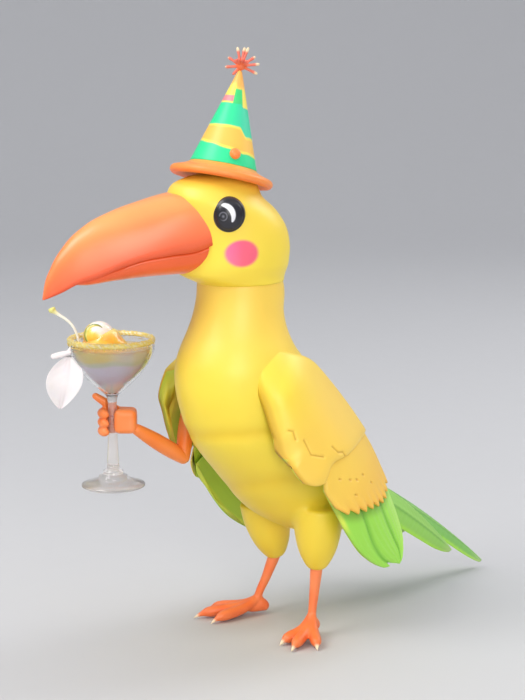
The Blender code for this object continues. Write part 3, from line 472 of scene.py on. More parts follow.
def body_distance(points):
    """Rough distance from the body's plain surface."""
    middle, width, depth = eased(BODY_ROWS, points[:, 2]).T
    reach = np.hypot(points[:, 0] / width, (points[:, 1] - middle) / depth)
    return np.abs(reach - 1) * np.minimum(width, depth)


def thigh_distance(points, label):
    knee, up, _ = leg_line(label)
    lift = (points - knee) @ up
    radius = looked_up(THIGH_STATIONS, lift)
    return np.abs(np.linalg.norm(points - knee - np.outer(lift, up), axis=1) - radius)


def join_weight(points):
    near_body = body_distance(points)
    share = np.full(len(points), 0.06)
    for label in LEG_LINES:
        closeness = np.hypot(near_body, thigh_distance(points, label)) / 3.2
        share = np.maximum(share, np.exp(-closeness ** 2))
    share[points[:, 2] > 62] = 0.06
    return share


def body_paint(points):
    height = points[:, 2]
    colour = mixed(YELLOW, YELLOW_WARM, step(100, 130, height))
    # Painted shade: the body grows darker towards the bottom, under the belly
    colour = mixed(colour, YELLOW_SHADE, 0.45 * step(88, 60, height))
    # Painted shade in the belly folds
    for fold, tilt, _, width in BELLY_FOLDS:
        front = step(5, -25, points[:, 1])
        colour = mixed(colour, YELLOW_SHADE, 0.6 * fold_band(points, fold, tilt, width) * front)
    return mixed(colour, YELLOW_LIGHT, 0.12 + 0.1 * value_noise(points, 22.0))


def make_body():
    shapes = [body_shape()]
    for label in LEG_LINES:
        knee, up, _ = leg_line(label)
        path = [knee + up * lift for lift, _ in THIGH_STATIONS]
        shapes.append(rod(path, [radius for _, radius in THIGH_STATIONS], 40, 40))
    skin = fused(shapes, 0.8, 40, join_weight)
    piece("body_skin", skin, BODY, "torso", VINYL, body_paint,
          ("torso_front", "torso_rear", "base_plug", "left_thigh", "right_thigh"))


# ---------------------------------------------------------------- head

HEAD_ROWS = ((142.8, 0.0, 15.2, 15.2), (143.2, 0.0, 16.5, 16.5), (144.0, 0.0, 17.3, 17.3),
             (145.4, 0.0, 18.1, 18.0), (147.6, -0.1, 18.8, 18.5), (150.0, -0.3, 19.3, 18.9),
             (157.0, -0.8, 20.1, 19.9), (164.0, -2.7, 20.3, 20.4), (171.0, -6.9, 19.5, 20.1),
             (176.0, -10.4, 17.6, 18.4), (180.0, -10.5, 14.9, 16.8), (183.2, -9.4, 10.5, 11.8),
             (184.6, -8.4, 5.0, 6.0), (184.9, -8.2, 1.0, 1.4))
# How far the chin juts out under the beak, at each height
CHIN = ((142.8, 0.0), (143.8, 0.6), (145.4, 3.4), (147.0, 5.6), (149.0, 5.9), (152.0, 5.0), (156.0, 3.0),
        (161.0, 1.0), (166.0, 0.0), (190.0, 0.0))
NECK_RADIUS = 17.0
CHEEK = (18.95, -6.4, 156.2)
CHEEK_SIZE = (6.1, 5.1)
MOUTH_CORNER = ((13.0, -17.0, 159.0), (15.7, -13.3, 159.8), (14.4, -15.0, 158.3))


def head_shape():
    rows, turns = elliptic_rows(HEAD_ROWS, 200, 240)
    away = np.abs((turns + math.pi) % math.tau - math.pi)
    back = step(math.radians(50), math.radians(105), away)[None, :]
    height = rows[..., 2]
    radius = np.hypot(rows[..., 0], rows[..., 1])
    tuck = back * step(151, 143.5, height) * np.clip(1 - NECK_RADIUS / radius, 0, 1)
    dive = step(144.2, 142.8, height)
    rows[..., :2] *= (1 - tuck - 0.03 * dive * back)[..., None]
    jut = looked_up(CHIN, height)
    rows[..., 1] -= jut * step(0.15, 0.95, np.cos(turns))[None, :]
    return grid(rows)


def head_paint(points):
    height = points[:, 2]
    colour = mixed(YELLOW, YELLOW_WARM, 0.5 * step(150, 176, height))
    # Painted shade on the chin, under the beak
    colour = mixed(colour, YELLOW_SHADE, 0.5 * step(152, 142, height) * step(6, -8, points[:, 1]))
    for side in (-1, 1):
        across = (points[:, 1] - CHEEK[1]) / CHEEK_SIZE[0]
        rise = (height - CHEEK[2]) / CHEEK_SIZE[1]
        reach = np.hypot(across, rise)
        rose = mixed(tone(246, 72, 128), tone(240, 92, 160), step(0.2, -0.9, across))
        share = step(1.12, 0.86, reach) * (points[:, 0] * side > 10)
        colour = mixed(colour, rose, share)
        # A thin darker line from the mouth's corner: painted shade standing in for a crease
        corner = [(side * x, y, z) for x, y, z in MOUTH_CORNER]
        for start, end in zip(corner, corner[1:]):
            colour = mixed(colour, ORANGE_CREASE_SHADE, 0.8 * step(0.5, 0.2, near_segment(points, start, end)))
    return mixed(colour, YELLOW_LIGHT, 0.08 + 0.06 * value_noise(points, 16.0, 3.0))


BEAK_TOP = ((8.0, 178.6), (15.0, 178.6), (24.0, 178.3), (31.0, 177.3), (39.0, 175.4), (50.8, 171.7),
            (60.8, 166.9), (68.9, 159.8), (74.1, 151.8), (76.7, 144.9), (77.4, 141.0))
BEAK_MOUTH = ((8.0, 160.6), (12.0, 160.2), (16.0, 159.3), (20.7, 157.5), (32.0, 156.0), (43.0, 154.2),
              (51.7, 151.2), (59.3, 148.0), (65.6, 146.1), (71.0, 143.1), (77.4, 140.1))
BEAK_FLOOR = ((8.0, 150.6), (12.0, 149.7), (18.5, 147.8), (28.0, 147.4), (39.5, 147.0),
              (51.2, 146.1), (62.7, 144.9), (65.6, 145.2))
BEAK_WIDTH = ((8.0, 14.0), (12.0, 14.6), (20.0, 14.5), (31.0, 13.8), (43.0, 12.2), (52.0, 10.2),
              (60.0, 7.9), (68.0, 5.3), (73.0, 3.3), (76.4, 1.5), (77.4, 0.5))
MOUTH_GAP = 0.3
JAW_REACH = 15.0


def beak_shape(upper):
    """Arched sections along the beak; the upper one ends in a hook, the lower one in a wedge."""
    last = BEAK_TOP[-1][0] if upper else 65.2
    reach = 8.0 + (last - 8.0) * np.sin(np.linspace(0, math.pi / 2, 90))
    top, mouth = looked_up(BEAK_TOP, reach), looked_up(BEAK_MOUTH, reach)
    width = looked_up(BEAK_WIDTH, reach)
    turns = np.linspace(0, math.pi, 41)
    if upper:
        lift = top - mouth
        close = np.ones_like(reach)
    else:
        # Behind the hinge it drops away, to stay clear of the upper beak as the mouth opens
        mouth = mouth - MOUTH_GAP - 0.17 * np.maximum(JAW_REACH - reach, 0)
        lift = -np.maximum(mouth - looked_up(BEAK_FLOOR, reach), 0.5)
        close = np.minimum(0.94, 0.12 + np.sqrt(np.clip((66.4 - reach) / 26.0, 0, 1)))
    full = step(44, 22, reach)[:, None] if upper else np.zeros((len(reach), 1))
    swing = np.abs(np.cos(turns))[None, :] ** (0.92 - 0.34 * full)
    side = (width * close)[:, None] * np.sign(np.cos(turns)) * swing
    rise = mouth[:, None] + lift[:, None] * np.sin(turns)[None, :] ** (0.82 - 0.24 * full)
    arch = np.stack([side, -np.repeat(reach[:, None], 41, 1), rise], -1)
    across = np.linspace(-1, 1, 23)[1:-1]
    floor_side = np.outer(width * close, across)
    hollow = (0.5 if upper else 0.0) * (1 - across ** 2)
    floor_rise = mouth[:, None] + hollow[None, :]
    floor = np.stack([floor_side, -np.repeat(reach[:, None], 21, 1), floor_rise], -1)
    return grid(np.concatenate([arch, floor], axis=1))


def beak_paint(upper):
    def paint(points):
        reach, height = -points[:, 1], points[:, 2]
        mouth = looked_up(BEAK_MOUTH, reach)
        if upper:
            share = (height - mouth) / np.maximum(looked_up(BEAK_TOP, reach) - mouth, 1)
            # Lighter towards the top: partly the beak's own paint, partly painted light from above
            colour = mixed(tone(246, 98, 56), tone(250, 126, 76), step(0.0, 0.45, share))
            colour = mixed(colour, tone(252, 160, 88), step(0.4, 1.0, share))
            colour = mixed(colour, tone(247, 96, 52), 0.5 * step(60, 76, reach))
        else:
            floor = looked_up(BEAK_FLOOR, reach)
            share = (mouth - height) / np.maximum(mouth - floor, 1)
            colour = mixed(tone(238, 98, 44), tone(240, 128, 84), step(0.55, 1.0, share))
        return mixed(colour, colour * 1.08, 0.5 + 0.5 * value_noise(points, 14.0, 1.0))
    return paint


EYE_CENTRE = (16.8, -10.7, 170.6)
EYE_SIZE = (4.6, 6.2, 6.8)
EYE_TURN = math.radians(17)
GLINT = (0.38, -0.04)                    # from the eye's middle: towards the beak, and up


def eye_shape():
    """A glossy dome with a raised rim; +X is its outward axis."""
    turns = np.linspace(0, math.tau, 144, endpoint=False)
    rows = []
    for k in range(72):
        swing = math.pi * 0.62 * (1 - k / 72.0)
        reach, out = math.sin(swing), math.cos(swing)
        if swing < math.pi / 2:
            out += 0.045 * hump(reach, 0.93, 0.05) - 0.02 * hump(reach, 0.82, 0.04)
        rows.append([(out * EYE_SIZE[0], reach * math.cos(turn) * EYE_SIZE[1],
                      reach * math.sin(turn) * EYE_SIZE[2]) for turn in turns])
    return grid(rows)


def eye_paint(points):
    """Charcoal with a dark ring, a round grey glint and a white crescent round it, a painted highlight."""
    toward = -points[:, 1] / EYE_SIZE[1]
    up = points[:, 2] / EYE_SIZE[2]
    reach = np.hypot(toward, up)
    charcoal, ink, grey = tone(34, 33, 41), tone(17, 17, 22), tone(128, 128, 138)
    colour = mixed(np.tile(charcoal, (len(points), 1)), ink, hump(reach, 0.8, 0.07))
    colour = mixed(colour, tone(78, 70, 82), 0.6 * hump(reach, 0.95, 0.035))
    east, north = toward - GLINT[0], up - GLINT[1]
    near = np.hypot(east, north)
    bearing = np.degrees(np.arctan2(north, -east))
    colour = mixed(colour, ink, 0.9 * step(0.36, 0.30, near))
    colour = mixed(colour, grey, 0.7 * hump(near, 0.22, 0.035) * step(-160, -60, bearing))
    colour = mixed(colour, grey, 0.9 * hump(near, 0.0, 0.075))
    # The white crescent is a painted highlight
    half = 0.165 * np.sqrt(np.clip(1 - ((bearing - 34) / 66.0) ** 2, 0, 1))
    crescent_highlight = step(half + 0.02, half - 0.04, np.abs(near - 0.6)) * (half > 0.02)
    return mixed(colour, tone(238, 238, 242), crescent_highlight)


def make_head():
    piece("head_skin", head_shape(), HEAD, "head", VINYL, head_paint, ("head_shell",))
    piece("beak_upper", beak_shape(True), HEAD, "head", BEAK_VINYL, beak_paint(True), ("upper_beak",))
    piece("beak_lower", beak_shape(False), HEAD, "jaw", BEAK_VINYL, beak_paint(False), ("lower_beak",))
    for side, label in ((1, "left"), (-1, "right")):
        middle = (side * EYE_CENTRE[0], EYE_CENTRE[1], EYE_CENTRE[2])
        points, faces = eye_shape()
        points = points * np.array((side, 1, 1))
        place = HEAD @ Matrix.Translation(middle) @ Matrix.Rotation(-side * EYE_TURN, 4, "Z")
        piece(f"{label}_eye_dome", (points, faces), place, "head", EYE_GLOSS, eye_paint,
              (f"{label}_eye",))


# ---------------------------------------------------------------- hat

BRIM_RADIUS, CONE_RADIUS, CONE_FOOT, CONE_TOP = 19.7, 12.3, 5.9, 42.5
VIEW_SIDE = math.radians(68)             # from the head's front to the side where the bands dip
TEAL, GOLD = tone(38, 224, 152), tone(252, 198, 84)
LEMON, PINK = tone(248, 226, 92), tone(240, 142, 148)


def hat_paint(points):
    """Wavy bands by u, the share of the way down from the top, and by s across the hat."""
    turn = np.arctan2(points[:, 0], -points[:, 1])
    s = np.sin(turn - VIEW_SIDE)
    u = (CONE_TOP - points[:, 2]) / (CONE_TOP - CONE_FOOT)
    wobble = 0.006 * value_noise(points, 3.0, 2.0)
    u = u + wobble
    lower_top = 0.84 + 0.045 * s - 0.012 * s * s
    upper_foot = 0.61 + 0.085 * step(0.45, 0.75, s)
    upper_top = 0.358 + 0.03 * step(0.5, 0.7, s)
    colour = mixed(tone(250, 186, 92), LEMON, step(0.16, 0.24, u + 0.05 * step(0.1, -0.2, s)))
    pink = step(0.275, 0.285, u) * step(0.349, 0.342, u) * step(0.06, -0.04, s)
    colour = mixed(colour, PINK, pink)
    block = step(0.20, 0.215, u) * step(-0.14, -0.06, s) * step(0.68, 0.6, s)
    colour = mixed(colour, tone(64, 212, 122), block)
    teal = step(upper_top, upper_top + 0.012, u)
    colour = mixed(colour, mixed(TEAL, tone(60, 216, 168), step(-0.2, 0.7, s)), teal)
    edge = step(upper_foot - 0.014, upper_foot, u)
    colour = mixed(colour, LEMON, edge)
    gold = step(upper_foot + 0.012, upper_foot + 0.024, u)
    colour = mixed(colour, GOLD, gold)
    colour = mixed(colour, LEMON, step(lower_top - 0.026, lower_top - 0.014, u))
    return mixed(colour, TEAL, step(lower_top, lower_top + 0.014, u))


def cone_profile():
    side = [((CONE_RADIUS + 0.45) * (1 - share) + 1.1 * share,
             CONE_FOOT + share * (CONE_TOP - 1.3 - CONE_FOOT)) for share in np.linspace(0, 1, 120)]
    dome = [(1.0 * math.cos(turn), CONE_TOP - 1.3 + 1.2 * math.sin(turn))
            for turn in np.linspace(0.1, 1.5, 8)]
    inside = [(CONE_RADIUS - 1.7 - 9.6 * share, CONE_FOOT + 29.0 * share)
              for share in np.linspace(1, 0, 12)]
    return [(0.02, inside[0][1] + 0.3)] + inside + [(CONE_RADIUS - 0.5, CONE_FOOT - 0.25)] + side + dome


def brim_profile():
    """From inside the cone down the underside, round the thick edge and up the flare."""
    under = [(10.3, 3.2), (12.5, 2.2), (15.0, 1.1), (17.2, 0.25), (18.0, 0.02)]
    edge = [(BRIM_RADIUS - 1.65 + 1.65 * math.cos(turn), 1.65 + 1.65 * math.sin(turn))
            for turn in np.linspace(-1.45, 1.1, 14)]
    flare = along(((18.55, 3.25), (16.6, 3.85), (14.6, 4.6), (13.1, 5.4), (12.45, 6.0)), 12).tolist()
    return under + edge + flare + [(11.6, 6.0), (10.3, 5.2)]


def brim_paint(points):
    reach = np.hypot(points[:, 0], points[:, 1])
    colour = mixed(tone(238, 168, 72), tone(251, 148, 66), step(12.5, 17.5, reach))
    # Painted shade: darker orange on the brim's underside and lower edge
    return mixed(colour, tone(244, 122, 44), step(1.4, 0.2, points[:, 2]))


SPIKES = ((-21, 7.3), (1, 7.2), (12, 7.6), (47, 6.5), (74, 7.1), (106, 6.9), (214, 4.6), (256, 6.1),
          (294, 6.0))                    # degrees from straight up, and length


def burst_shapes():
    shapes = []
    turns = np.linspace(0.05, math.pi - 0.05, 16)
    shapes.append(lathe([(1.75 * math.sin(turn), -1.75 * math.cos(turn)) for turn in turns], 32))
    face_on = np.array(Matrix.Rotation(VIEW_SIDE, 3, "Z"))
    ways = [(face_on @ np.array((math.sin(math.radians(a)), 0, math.cos(math.radians(a)))), length)
            for a, length in SPIKES]
    for k in range(5):
        for side, tilt in ((-1, 0.15), (1, 0.45)):
            turn = math.radians(-70 + 36 * k)
            way = np.array((math.sin(turn) * 0.75, side, 0.35 + tilt * math.cos(turn)))
            ways.append((face_on @ (way / np.linalg.norm(way)), 4.6))
    for way, length in ways:
        stations = (0.6, 2.0, length * 0.6, length - 0.8, length - 0.25, length)
        radii = (0.66, 0.56, 0.5, 0.56, 0.42, 0.12)
        shapes.append(rod([way * reach for reach in stations], radii, 14, 24))
    return merged(shapes)


def burst_paint(points):
    reach = np.linalg.norm(points, axis=1)
    colour = mixed(tone(240, 112, 62), tone(232, 116, 96), step(1.5, 3.6, reach))
    return mixed(colour, tone(238, 214, 176), step(5.2, 6.2, reach))


def make_hat():
    piece("hat_cone_painted", lathe(cone_profile(), 300), HAT, "hat", HAT_PAINT, hat_paint,
          ("hat_cone",))
    piece("hat_brim_flared", ring_profile(brim_profile(), 160), HAT, "hat", HAT_PAINT, brim_paint,
          ("hat_brim",))
    slope = math.atan2(CONE_RADIUS, CONE_TOP - CONE_FOOT)
    place = (HAT @ Matrix.Rotation(math.radians(86), 4, "Z")
             @ Matrix.Translation((0, -(CONE_RADIUS - 0.62), CONE_FOOT + 3.9))
             @ Matrix.Rotation(math.radians(90) - slope, 4, "X"))
    dome = [(0.02, -0.6), (1.9, -0.6)] + [(0.35 + 1.75 * math.cos(t), 0.35 + 1.65 * math.sin(t))
                                         for t in np.linspace(-0.2, 1.5, 14)]
    piece("hat_button_dome", lathe(dome, 48), place, "hat", HAT_PAINT, plain(tone(250, 142, 70)),
          ("hat_button",))
    place = HAT @ Matrix.Translation((0, 0, CONE_TOP + 1.6))
    piece("hat_burst", burst_shapes(), place, "hat", HAT_PAINT, burst_paint, ("hat_starburst",))


# ---------------------------------------------------------------- wings

WING_TOP, COVERTS_TOP, PRIMARIES_TOP = -42.8, -4.0, 12.0
WING_MIDDLE, WING_RUN = (-14.0, 82.0), (0.5, -0.866)
WING_REACH, WING_SPLAY, WING_STRAIGHT, WING_FRONT = 44.6, 0.28, 25.0, -18.0
SHOULDER, ELBOW, WRIST = (-26.7, -32.5, 90.0), (-25.2, -36.5, 70.0), (-27.0, -58.0, 84.6)
FRONT_EDGE = ((-43, -1), (-38, -10), (-31, -17), (-20, -20.5), (-8, -23), (5, -20.5), (25, -15),
              (50, -8.5), (58, -4), (64, 1.5))
# The left wing lies closer to the body, so its front edge runs further back up there
NEAR_FRONT_EDGE = ((-43, 2), (-40, -3), (-35, -8), (-24, -13), (0, -19), (6, -18), (16, -13.5),
                   (32, -13), (46, -10.5), (56, -5), (64, 3))
BACK_EDGE = ((-42.8, 2.5), (-41.0, 4.5), (-34.0, 11.7), (-26.0, 18.8), (-12.5, 23.7), (-2.0, 25.7),
             (10.0, 26.8), (20.0, 26.6), (28.5, 24.6), (41.0, 22.4), (52.0, 19.8), (58.0, 16.0),
             (63.5, 6.5))
# How far each wing's front edge stands off the body, at each run; FREE is its own face
FREE = 99.0
EDGE_LIFT = {1: ((-42.8, -3.0), (-39.0, -1.2), (-36.0, -0.1), (-33.0, 0.9), (-30.0, 1.8), (-24.0, 3.6),
                 (-16.0, 7.0), (-8.0, 11.0), (-2.0, 30.0), (3.0, FREE), (64.0, FREE)),
             -1: ((-42.8, -1.5), (-40.0, 0.8), (-36.0, 6.0), (-33.0, 30.0), (-30.0, FREE), (64.0, FREE))}
# The coverts' front edge lies this far behind the wing's
COVERT_INSET = ((-43, 12.5), (-10, 12.5), (4, 10.5), (8, 6.5), (11, 3), (15, 1), (28, 1.5), (64, 1.5))
PRIMARY_INSET = ((-43.0, 5.0), (12.0, 3.4), (15.0, 1.8), (19.0, 0.5), (26.0, 0.2), (64.0, 0.0))
NO_INSET = ((-43.0, 0.0), (64.0, 0.0))
PRIMARIES_END = ((0.0, 56.5), (0.08, 58.5), (0.135, 57), (0.17, 59), (0.25, 61), (0.5, 63), (0.8, 62),
                 (1.0, 58.5))
COVER_END = ((0.0, 2.5), (0.05, 5.8), (0.13, 7.6), (0.2, 6.4), (0.3, 4.6), (0.5, 7.4), (0.8, 12.0),
             (1.0, 16.0))
COVERTS_END = ((0.0, 19.0), (0.06, 22.0), (0.15, 24.6), (0.34, 28.4), (0.53, 32.2), (0.67, 34.4),
               (1.0, 34.6))
TEETH = 9                                # scallops along the coverts' lower edge
WING_PIVOT = (-20.0, 101.0)              # Y and Z of the wings' hinge
WING_SWING = math.radians(18)
ARM_TURNS = (math.radians(-10), 0.0, math.radians(12))
ARM_CLEAR_INNER, ARM_CLEAR_OUTER = 31.0, 31.7
# Engraved strokes on the cover and the coverts, as (run, across) points
COVER_MARKS = (((-17, -12), (-16, -11), (-13, -12)), ((-11, -9.5), (-5, -10.5), (-1, -6.5)),
               ((-1, -0.5), (2.5, 0.5), (4, 2.5), (6.5, 3)), ((11, 8), (13.5, 9)))
COVERT_NICKS = ((11, -5), (14.5, -1), (17, 2), (18.5, 6.5), (20.5, -2.5), (24, 8.5))
COVERT_MARKS = tuple(((run, across), (run + 0.7, across + 0.6)) for run, across in COVERT_NICKS)


def wing_face(side, run, across, depth):
    """Points of the wing's curved face, depth under it, in the figure's millimetres."""
    y = WING_MIDDLE[0] + WING_RUN[0] * run - WING_RUN[1] * across
    z = WING_MIDDLE[1] + WING_RUN[1] * run + WING_RUN[0] * across
    short = WING_STRAIGHT - run
    x = WING_REACH - WING_SPLAY * (short + np.hypot(short, 10.0)) / 2
    swell = across - WING_FRONT
    x = x + 0.3 * swell - 0.015 * swell * swell
    return np.stack([side * (x - depth), y, z], -1)


def stroke_distance(run, across, strokes):
    nearest = np.full(run.shape, 99.0)
    for stroke in strokes:
        for (r0, a0), (r1, a1) in zip(stroke, stroke[1:]):
            share = np.clip(((run - r0) * (r1 - r0) + (across - a0) * (a1 - a0))
                            / ((r1 - r0) ** 2 + (a1 - a0) ** 2), 0, 1)
            nearest = np.minimum(nearest, np.hypot(run - r0 - share * (r1 - r0),
                                                   across - a0 - share * (a1 - a0)))
    return nearest


def front_edge(side, run):
    table = NEAR_FRONT_EDGE if side > 0 else FRONT_EDGE
    return looked_up(table, run)


def body_side(y, z):
    """The body's half width at each y and z."""
    middle, width, depth = eased(BODY_ROWS, z.ravel()).T
    inside = np.clip(1 - ((y.ravel() - middle) / depth) ** 2, 0, 1)
    return (width * np.sqrt(inside)).reshape(y.shape)


def clear_of_arm(face, least):
    """Push the right wing out where the upper arm would meet it as it swings."""
    y, z = face[..., 1] - WING_PIVOT[0], face[..., 2] - WING_PIVOT[1]
    nearest = np.full(y.shape, 99.0)
    for turn in np.linspace(0, WING_SWING, 7):
        swung = np.stack([y * 0, y * math.cos(turn) - z * math.sin(turn) + WING_PIVOT[0],
                          y * math.sin(turn) + z * math.cos(turn) + WING_PIVOT[1]], -1)
        for arm_turn in ARM_TURNS:
            hang = Matrix.Rotation(arm_turn, 3, "X") @ (Vector(ELBOW) - Vector(SHOULDER))
            top = np.array((0, *SHOULDER[1:]))
            away = near_segment(swung.reshape(-1, 3), top, top + (0, hang.y, hang.z))
            nearest = np.minimum(nearest, away.reshape(y.shape))
    face[..., 0] -= step(15.0, 5.5, nearest) * np.maximum(least + face[..., 0], 0)


def wing_sheet(side, start, finish, depth, thickness, size, relief, edge_drop, inset=NO_INSET):
    """A plate with rounded edges. relief raises its outer face; edge_drop says how far the
    outer face falls at an edge. Returns the shape and each point's place on the wing."""
    columns, rows = size
    share = np.linspace(0, 1, columns)[:, None]
    t = np.linspace(0, 1, rows)[None, :]
    run = start(share) + (finish(share) - start(share)) * t
    front = front_edge(side, run) + looked_up(inset, run)
    back = looked_up(BACK_EDGE, run)
    across = front + (back - front) * share
    to_side = np.minimum(across - front, back - across)
    to_end = np.minimum(run - start(share), finish(share) - run)
    top = depth - relief(run, across, share) + edge_drop(run, to_side, to_end)
    face = wing_face(side, run, across, 0.0)
    gap = np.maximum(side * face[..., 0] - body_side(face[..., 1], face[..., 2]), 0)
    lift = looked_up(EDGE_LIFT[side], run)
    settle = np.maximum(gap - lift, 0)
    near_front = rounding(across - front, 10.0)
    near_top = step(17.0, 0.0, run - WING_TOP)
    top = top + settle * (1 - (1 - near_front) * (1 - near_top))
    low = np.maximum(depth + thickness, top + 0.02)
    outer = wing_face(side, run, across, top)
    inner = wing_face(side, run, across, low)
    if side < 0:
        clear_of_arm(inner, ARM_CLEAR_INNER)
        clear_of_arm(outer, ARM_CLEAR_OUTER)
    loop = np.concatenate([outer, inner[:, ::-1]], axis=1)
    points, faces = grid(loop)
    flat = lambda a, b: np.concatenate([a, b[:, ::-1]], axis=1).ravel()
    place = {"run": flat(run, run), "across": flat(across, across),
             "inner": flat(np.zeros_like(run), np.ones_like(run)), "edge": flat(to_side, to_side),
             "end": flat(finish(share) - run, finish(share) - run)}
    return (points, faces), {key: np.append(value, value[[0, -1]]) for key, value in place.items()}


def cover_drop(run, to_side, to_end):
    """Round edges, and a long slope down onto the feathers below."""
    return np.maximum(1.6 * rounding(to_side, 1.8), 1.7 * rounding(to_end, 5.0) * (run > -20))


def plate_drop(thickness, radius):
    return lambda run, to_side, to_end: thickness * rounding(np.minimum(to_side, to_end), radius)


def teeth(share):
    wave = np.abs((share * TEETH) % 1.0 * 2 - 1)
    return 2.6 * (1 - wave) ** 0.8


LOBE_BOUNDS = (0.0, 0.3, 0.64, 1.0)      # the three long feathers, as shares of the width


def feather_phase(share, run):
    """0 between two long feathers, 1 along the middle of one. They crowd forward at the tips."""
    share = share + 0.19 * step(22, 57, run) * (1 - share)
    bounds = np.array(LOBE_BOUNDS)
    i = np.clip(np.searchsorted(bounds, share, side="right") - 1, 0, len(bounds) - 2)
    return np.sin(math.pi * np.clip((share - bounds[i]) / (bounds[i + 1] - bounds[i]), 0, 1))


def make_wing(side, label):
    body, slot = f"{label}_wing", "vinyl_yellow"
    table = lambda rows: (lambda share: looked_up(rows, share))
    level = lambda run: (lambda share: run + 0 * share)

    def cover_relief(run, across, share):
        marks = stroke_distance(run, across, COVER_MARKS)
        spots = np.stack([run.ravel(), across.ravel(), run.ravel() * 0], -1)
        return 0.1 * value_noise(spots, 9.0).reshape(run.shape) - 0.45 * hump(marks, 0, 0.5)

    def paint_cover(points):
        marks = stroke_distance(where["run"], where["across"], COVER_MARKS)
        colour = mixed(YELLOW, YELLOW_WARM, step(-38, -5, where["run"]))
        # Painted highlight: lighter and pinker towards the wing's back edge
        colour = mixed(colour, tone(252, 212, 104), 0.4 * step(-5, 15, where["across"]))
        # Painted shade along the front edge's crease against the body
        crease_shade = step(1.4, 0.2, where["edge"]) * step(-40, -30, where["run"]) * (where["across"] < 0)
        colour = mixed(colour, tone(214, 164, 30), 0.6 * crease_shade)
        # Painted shade in the engraved strokes
        colour = mixed(colour, tone(196, 148, 30), 0.65 * hump(marks, 0, 0.3) * (1 - where["inner"]))
        inside = mixed(mixed(YELLOW_LIGHT, OLIVE, step(-24, -10, where["run"])), LIME_RIM,
                       step(3.2, 1.2, where["edge"]))
        return mixed(colour, inside, where["inner"])

    shape, where = wing_sheet(side, level(WING_TOP), table(COVER_END), 0.0, 2.0,
                              (150, 170), cover_relief, cover_drop)
    piece(f"{label}_wing_cover_skin", shape, BODY, body, WING_VINYL, paint_cover,
          (f"{label}_wing_cover",))

    def covert_relief(run, across, share):
        marks = stroke_distance(run, across, COVERT_MARKS)
        tips = table(COVERTS_END)(share)
        quills = np.cos(math.tau * TEETH * share) * step(8, 0, tips - run) * -0.22
        return quills - 0.5 * hump(marks, 0, 0.4)

    def paint_coverts(points):
        marks = stroke_distance(where["run"], where["across"], COVERT_MARKS)
        colour = mixed(YELLOW_WARM, tone(250, 198, 80), step(8, 30, where["run"]))
        colour = mixed(colour, tone(250, 180, 66), 0.5 * step(3.2, 0.4, where["end"]))
        # Painted shade in the engraved nicks
        colour = mixed(colour, tone(206, 150, 40), 0.6 * hump(marks, 0, 0.35) * (1 - where["inner"]))
        inside = mixed(OLIVE, LIME_RIM, step(3.0, 0.8, where["edge"]))
        return mixed(colour, inside, where["inner"])

    shape, where = wing_sheet(side, level(COVERTS_TOP),
                              lambda share: table(COVERTS_END)(share) + teeth(share), 2.3, 1.5,
                              (TEETH * 22 + 1, 120), covert_relief, plate_drop(1.3, 1.4), COVERT_INSET)
    piece(f"{label}_wing_coverts_skin", shape, BODY, body, WING_VINYL, paint_coverts,
          (f"{label}_wing_coverts",))

    def primary_relief(run, across, share):
        fine = 0.12 * np.sin(share * 75 + run * 0.15)
        lobes = feather_phase(share, run) ** 0.55 * step(16, 34, run)
        return lobes - 0.45 + fine * step(30, 40, run)

    def paint_primaries(points):
        front = front_edge(side, where["run"])
        share = (where["across"] - front) / np.maximum(looked_up(BACK_EDGE, where["run"]) - front, 1)
        # Painted highlight towards the back of the long feathers
        colour = mixed(GREEN, GREEN_HIGHLIGHT, step(0.55, 0.95, share))
        # Painted shade in the folds between the long feathers
        fold = step(0.5, 0.0, feather_phase(share, where["run"]))
        colour = mixed(colour, GREEN_SHADE, 0.8 * fold)
        past = where["run"] - table(COVERTS_END)(share) - 1.0
        shade = step(6.0, 0.5, past) * step(-5.0, -1.0, past)
        colour = mixed(colour, LIME_RIM, step(2.0, 0.6, where["edge"]) * step(34, 26, where["run"])
                       * (where["across"] < 0))
        colour = mixed(colour, tone(84, 120, 30), 0.5 * shade)
        inside = mixed(tone(186, 224, 72), LIME_RIM, step(3.0, 0.8, where["edge"]))
        return mixed(colour, inside, where["inner"])

    shape, where = wing_sheet(side, level(PRIMARIES_TOP),
                              table(PRIMARIES_END), 4.1, 1.5, (151, 130),
                              primary_relief, plate_drop(1.4, 1.6), PRIMARY_INSET)
    piece(f"{label}_wing_primaries_skin", shape, BODY, body, WING_VINYL, paint_primaries,
          (f"{label}_wing_primaries",))


# ---------------------------------------------------------------- tail

def feather_rows(root, tip, width, thickness, roll, arch, droop, rows=90, across=48):
    """A blade with a raised quill, arched across its width and tapering to its tip."""
    root, tip = Vector(root), Vector(tip)
    way = tip - root
    side = (Matrix.Rotation(math.radians(roll), 3, way) @ way.cross(Vector((0, 0, 1))).normalized())
    up = np.array(side.cross(way).normalized())
    side, way, root = np.array(side), np.array(way), np.array(root)
    turns = np.linspace(0, math.tau, across, endpoint=False)
    made = []
    for share in np.linspace(0, 1, rows):
        swell = (0.6 + 0.4 * math.sin(math.pi * share ** 0.8)) * width / 2
        taper = math.sqrt(max(1 - (max(share - 0.75, 0) / 0.252) ** 2, 0.006))
        swell *= taper * (1 - 0.25 * share * share)
        middle = root + way * share + up * droop * math.sin(math.pi * share)
        half = thickness / 2 * (1 - 0.4 * share)
        lean = np.cos(turns)
        quill = 0.5 * np.exp(-(lean / 0.13) ** 2) * (np.sin(turns) > 0) * (1 - share * 0.6)
        barbs = 0.1 * np.sin(share * 160 + np.abs(lean) * 7) * (np.sin(turns) > 0)
        rise = (half * (np.sin(turns) + quill + barbs) - arch * lean ** 2) * (0.2 + 0.8 * taper)
        made.append(middle + np.outer(lean * swell, side) + np.outer(rise, up))
    return np.array(made), side, up


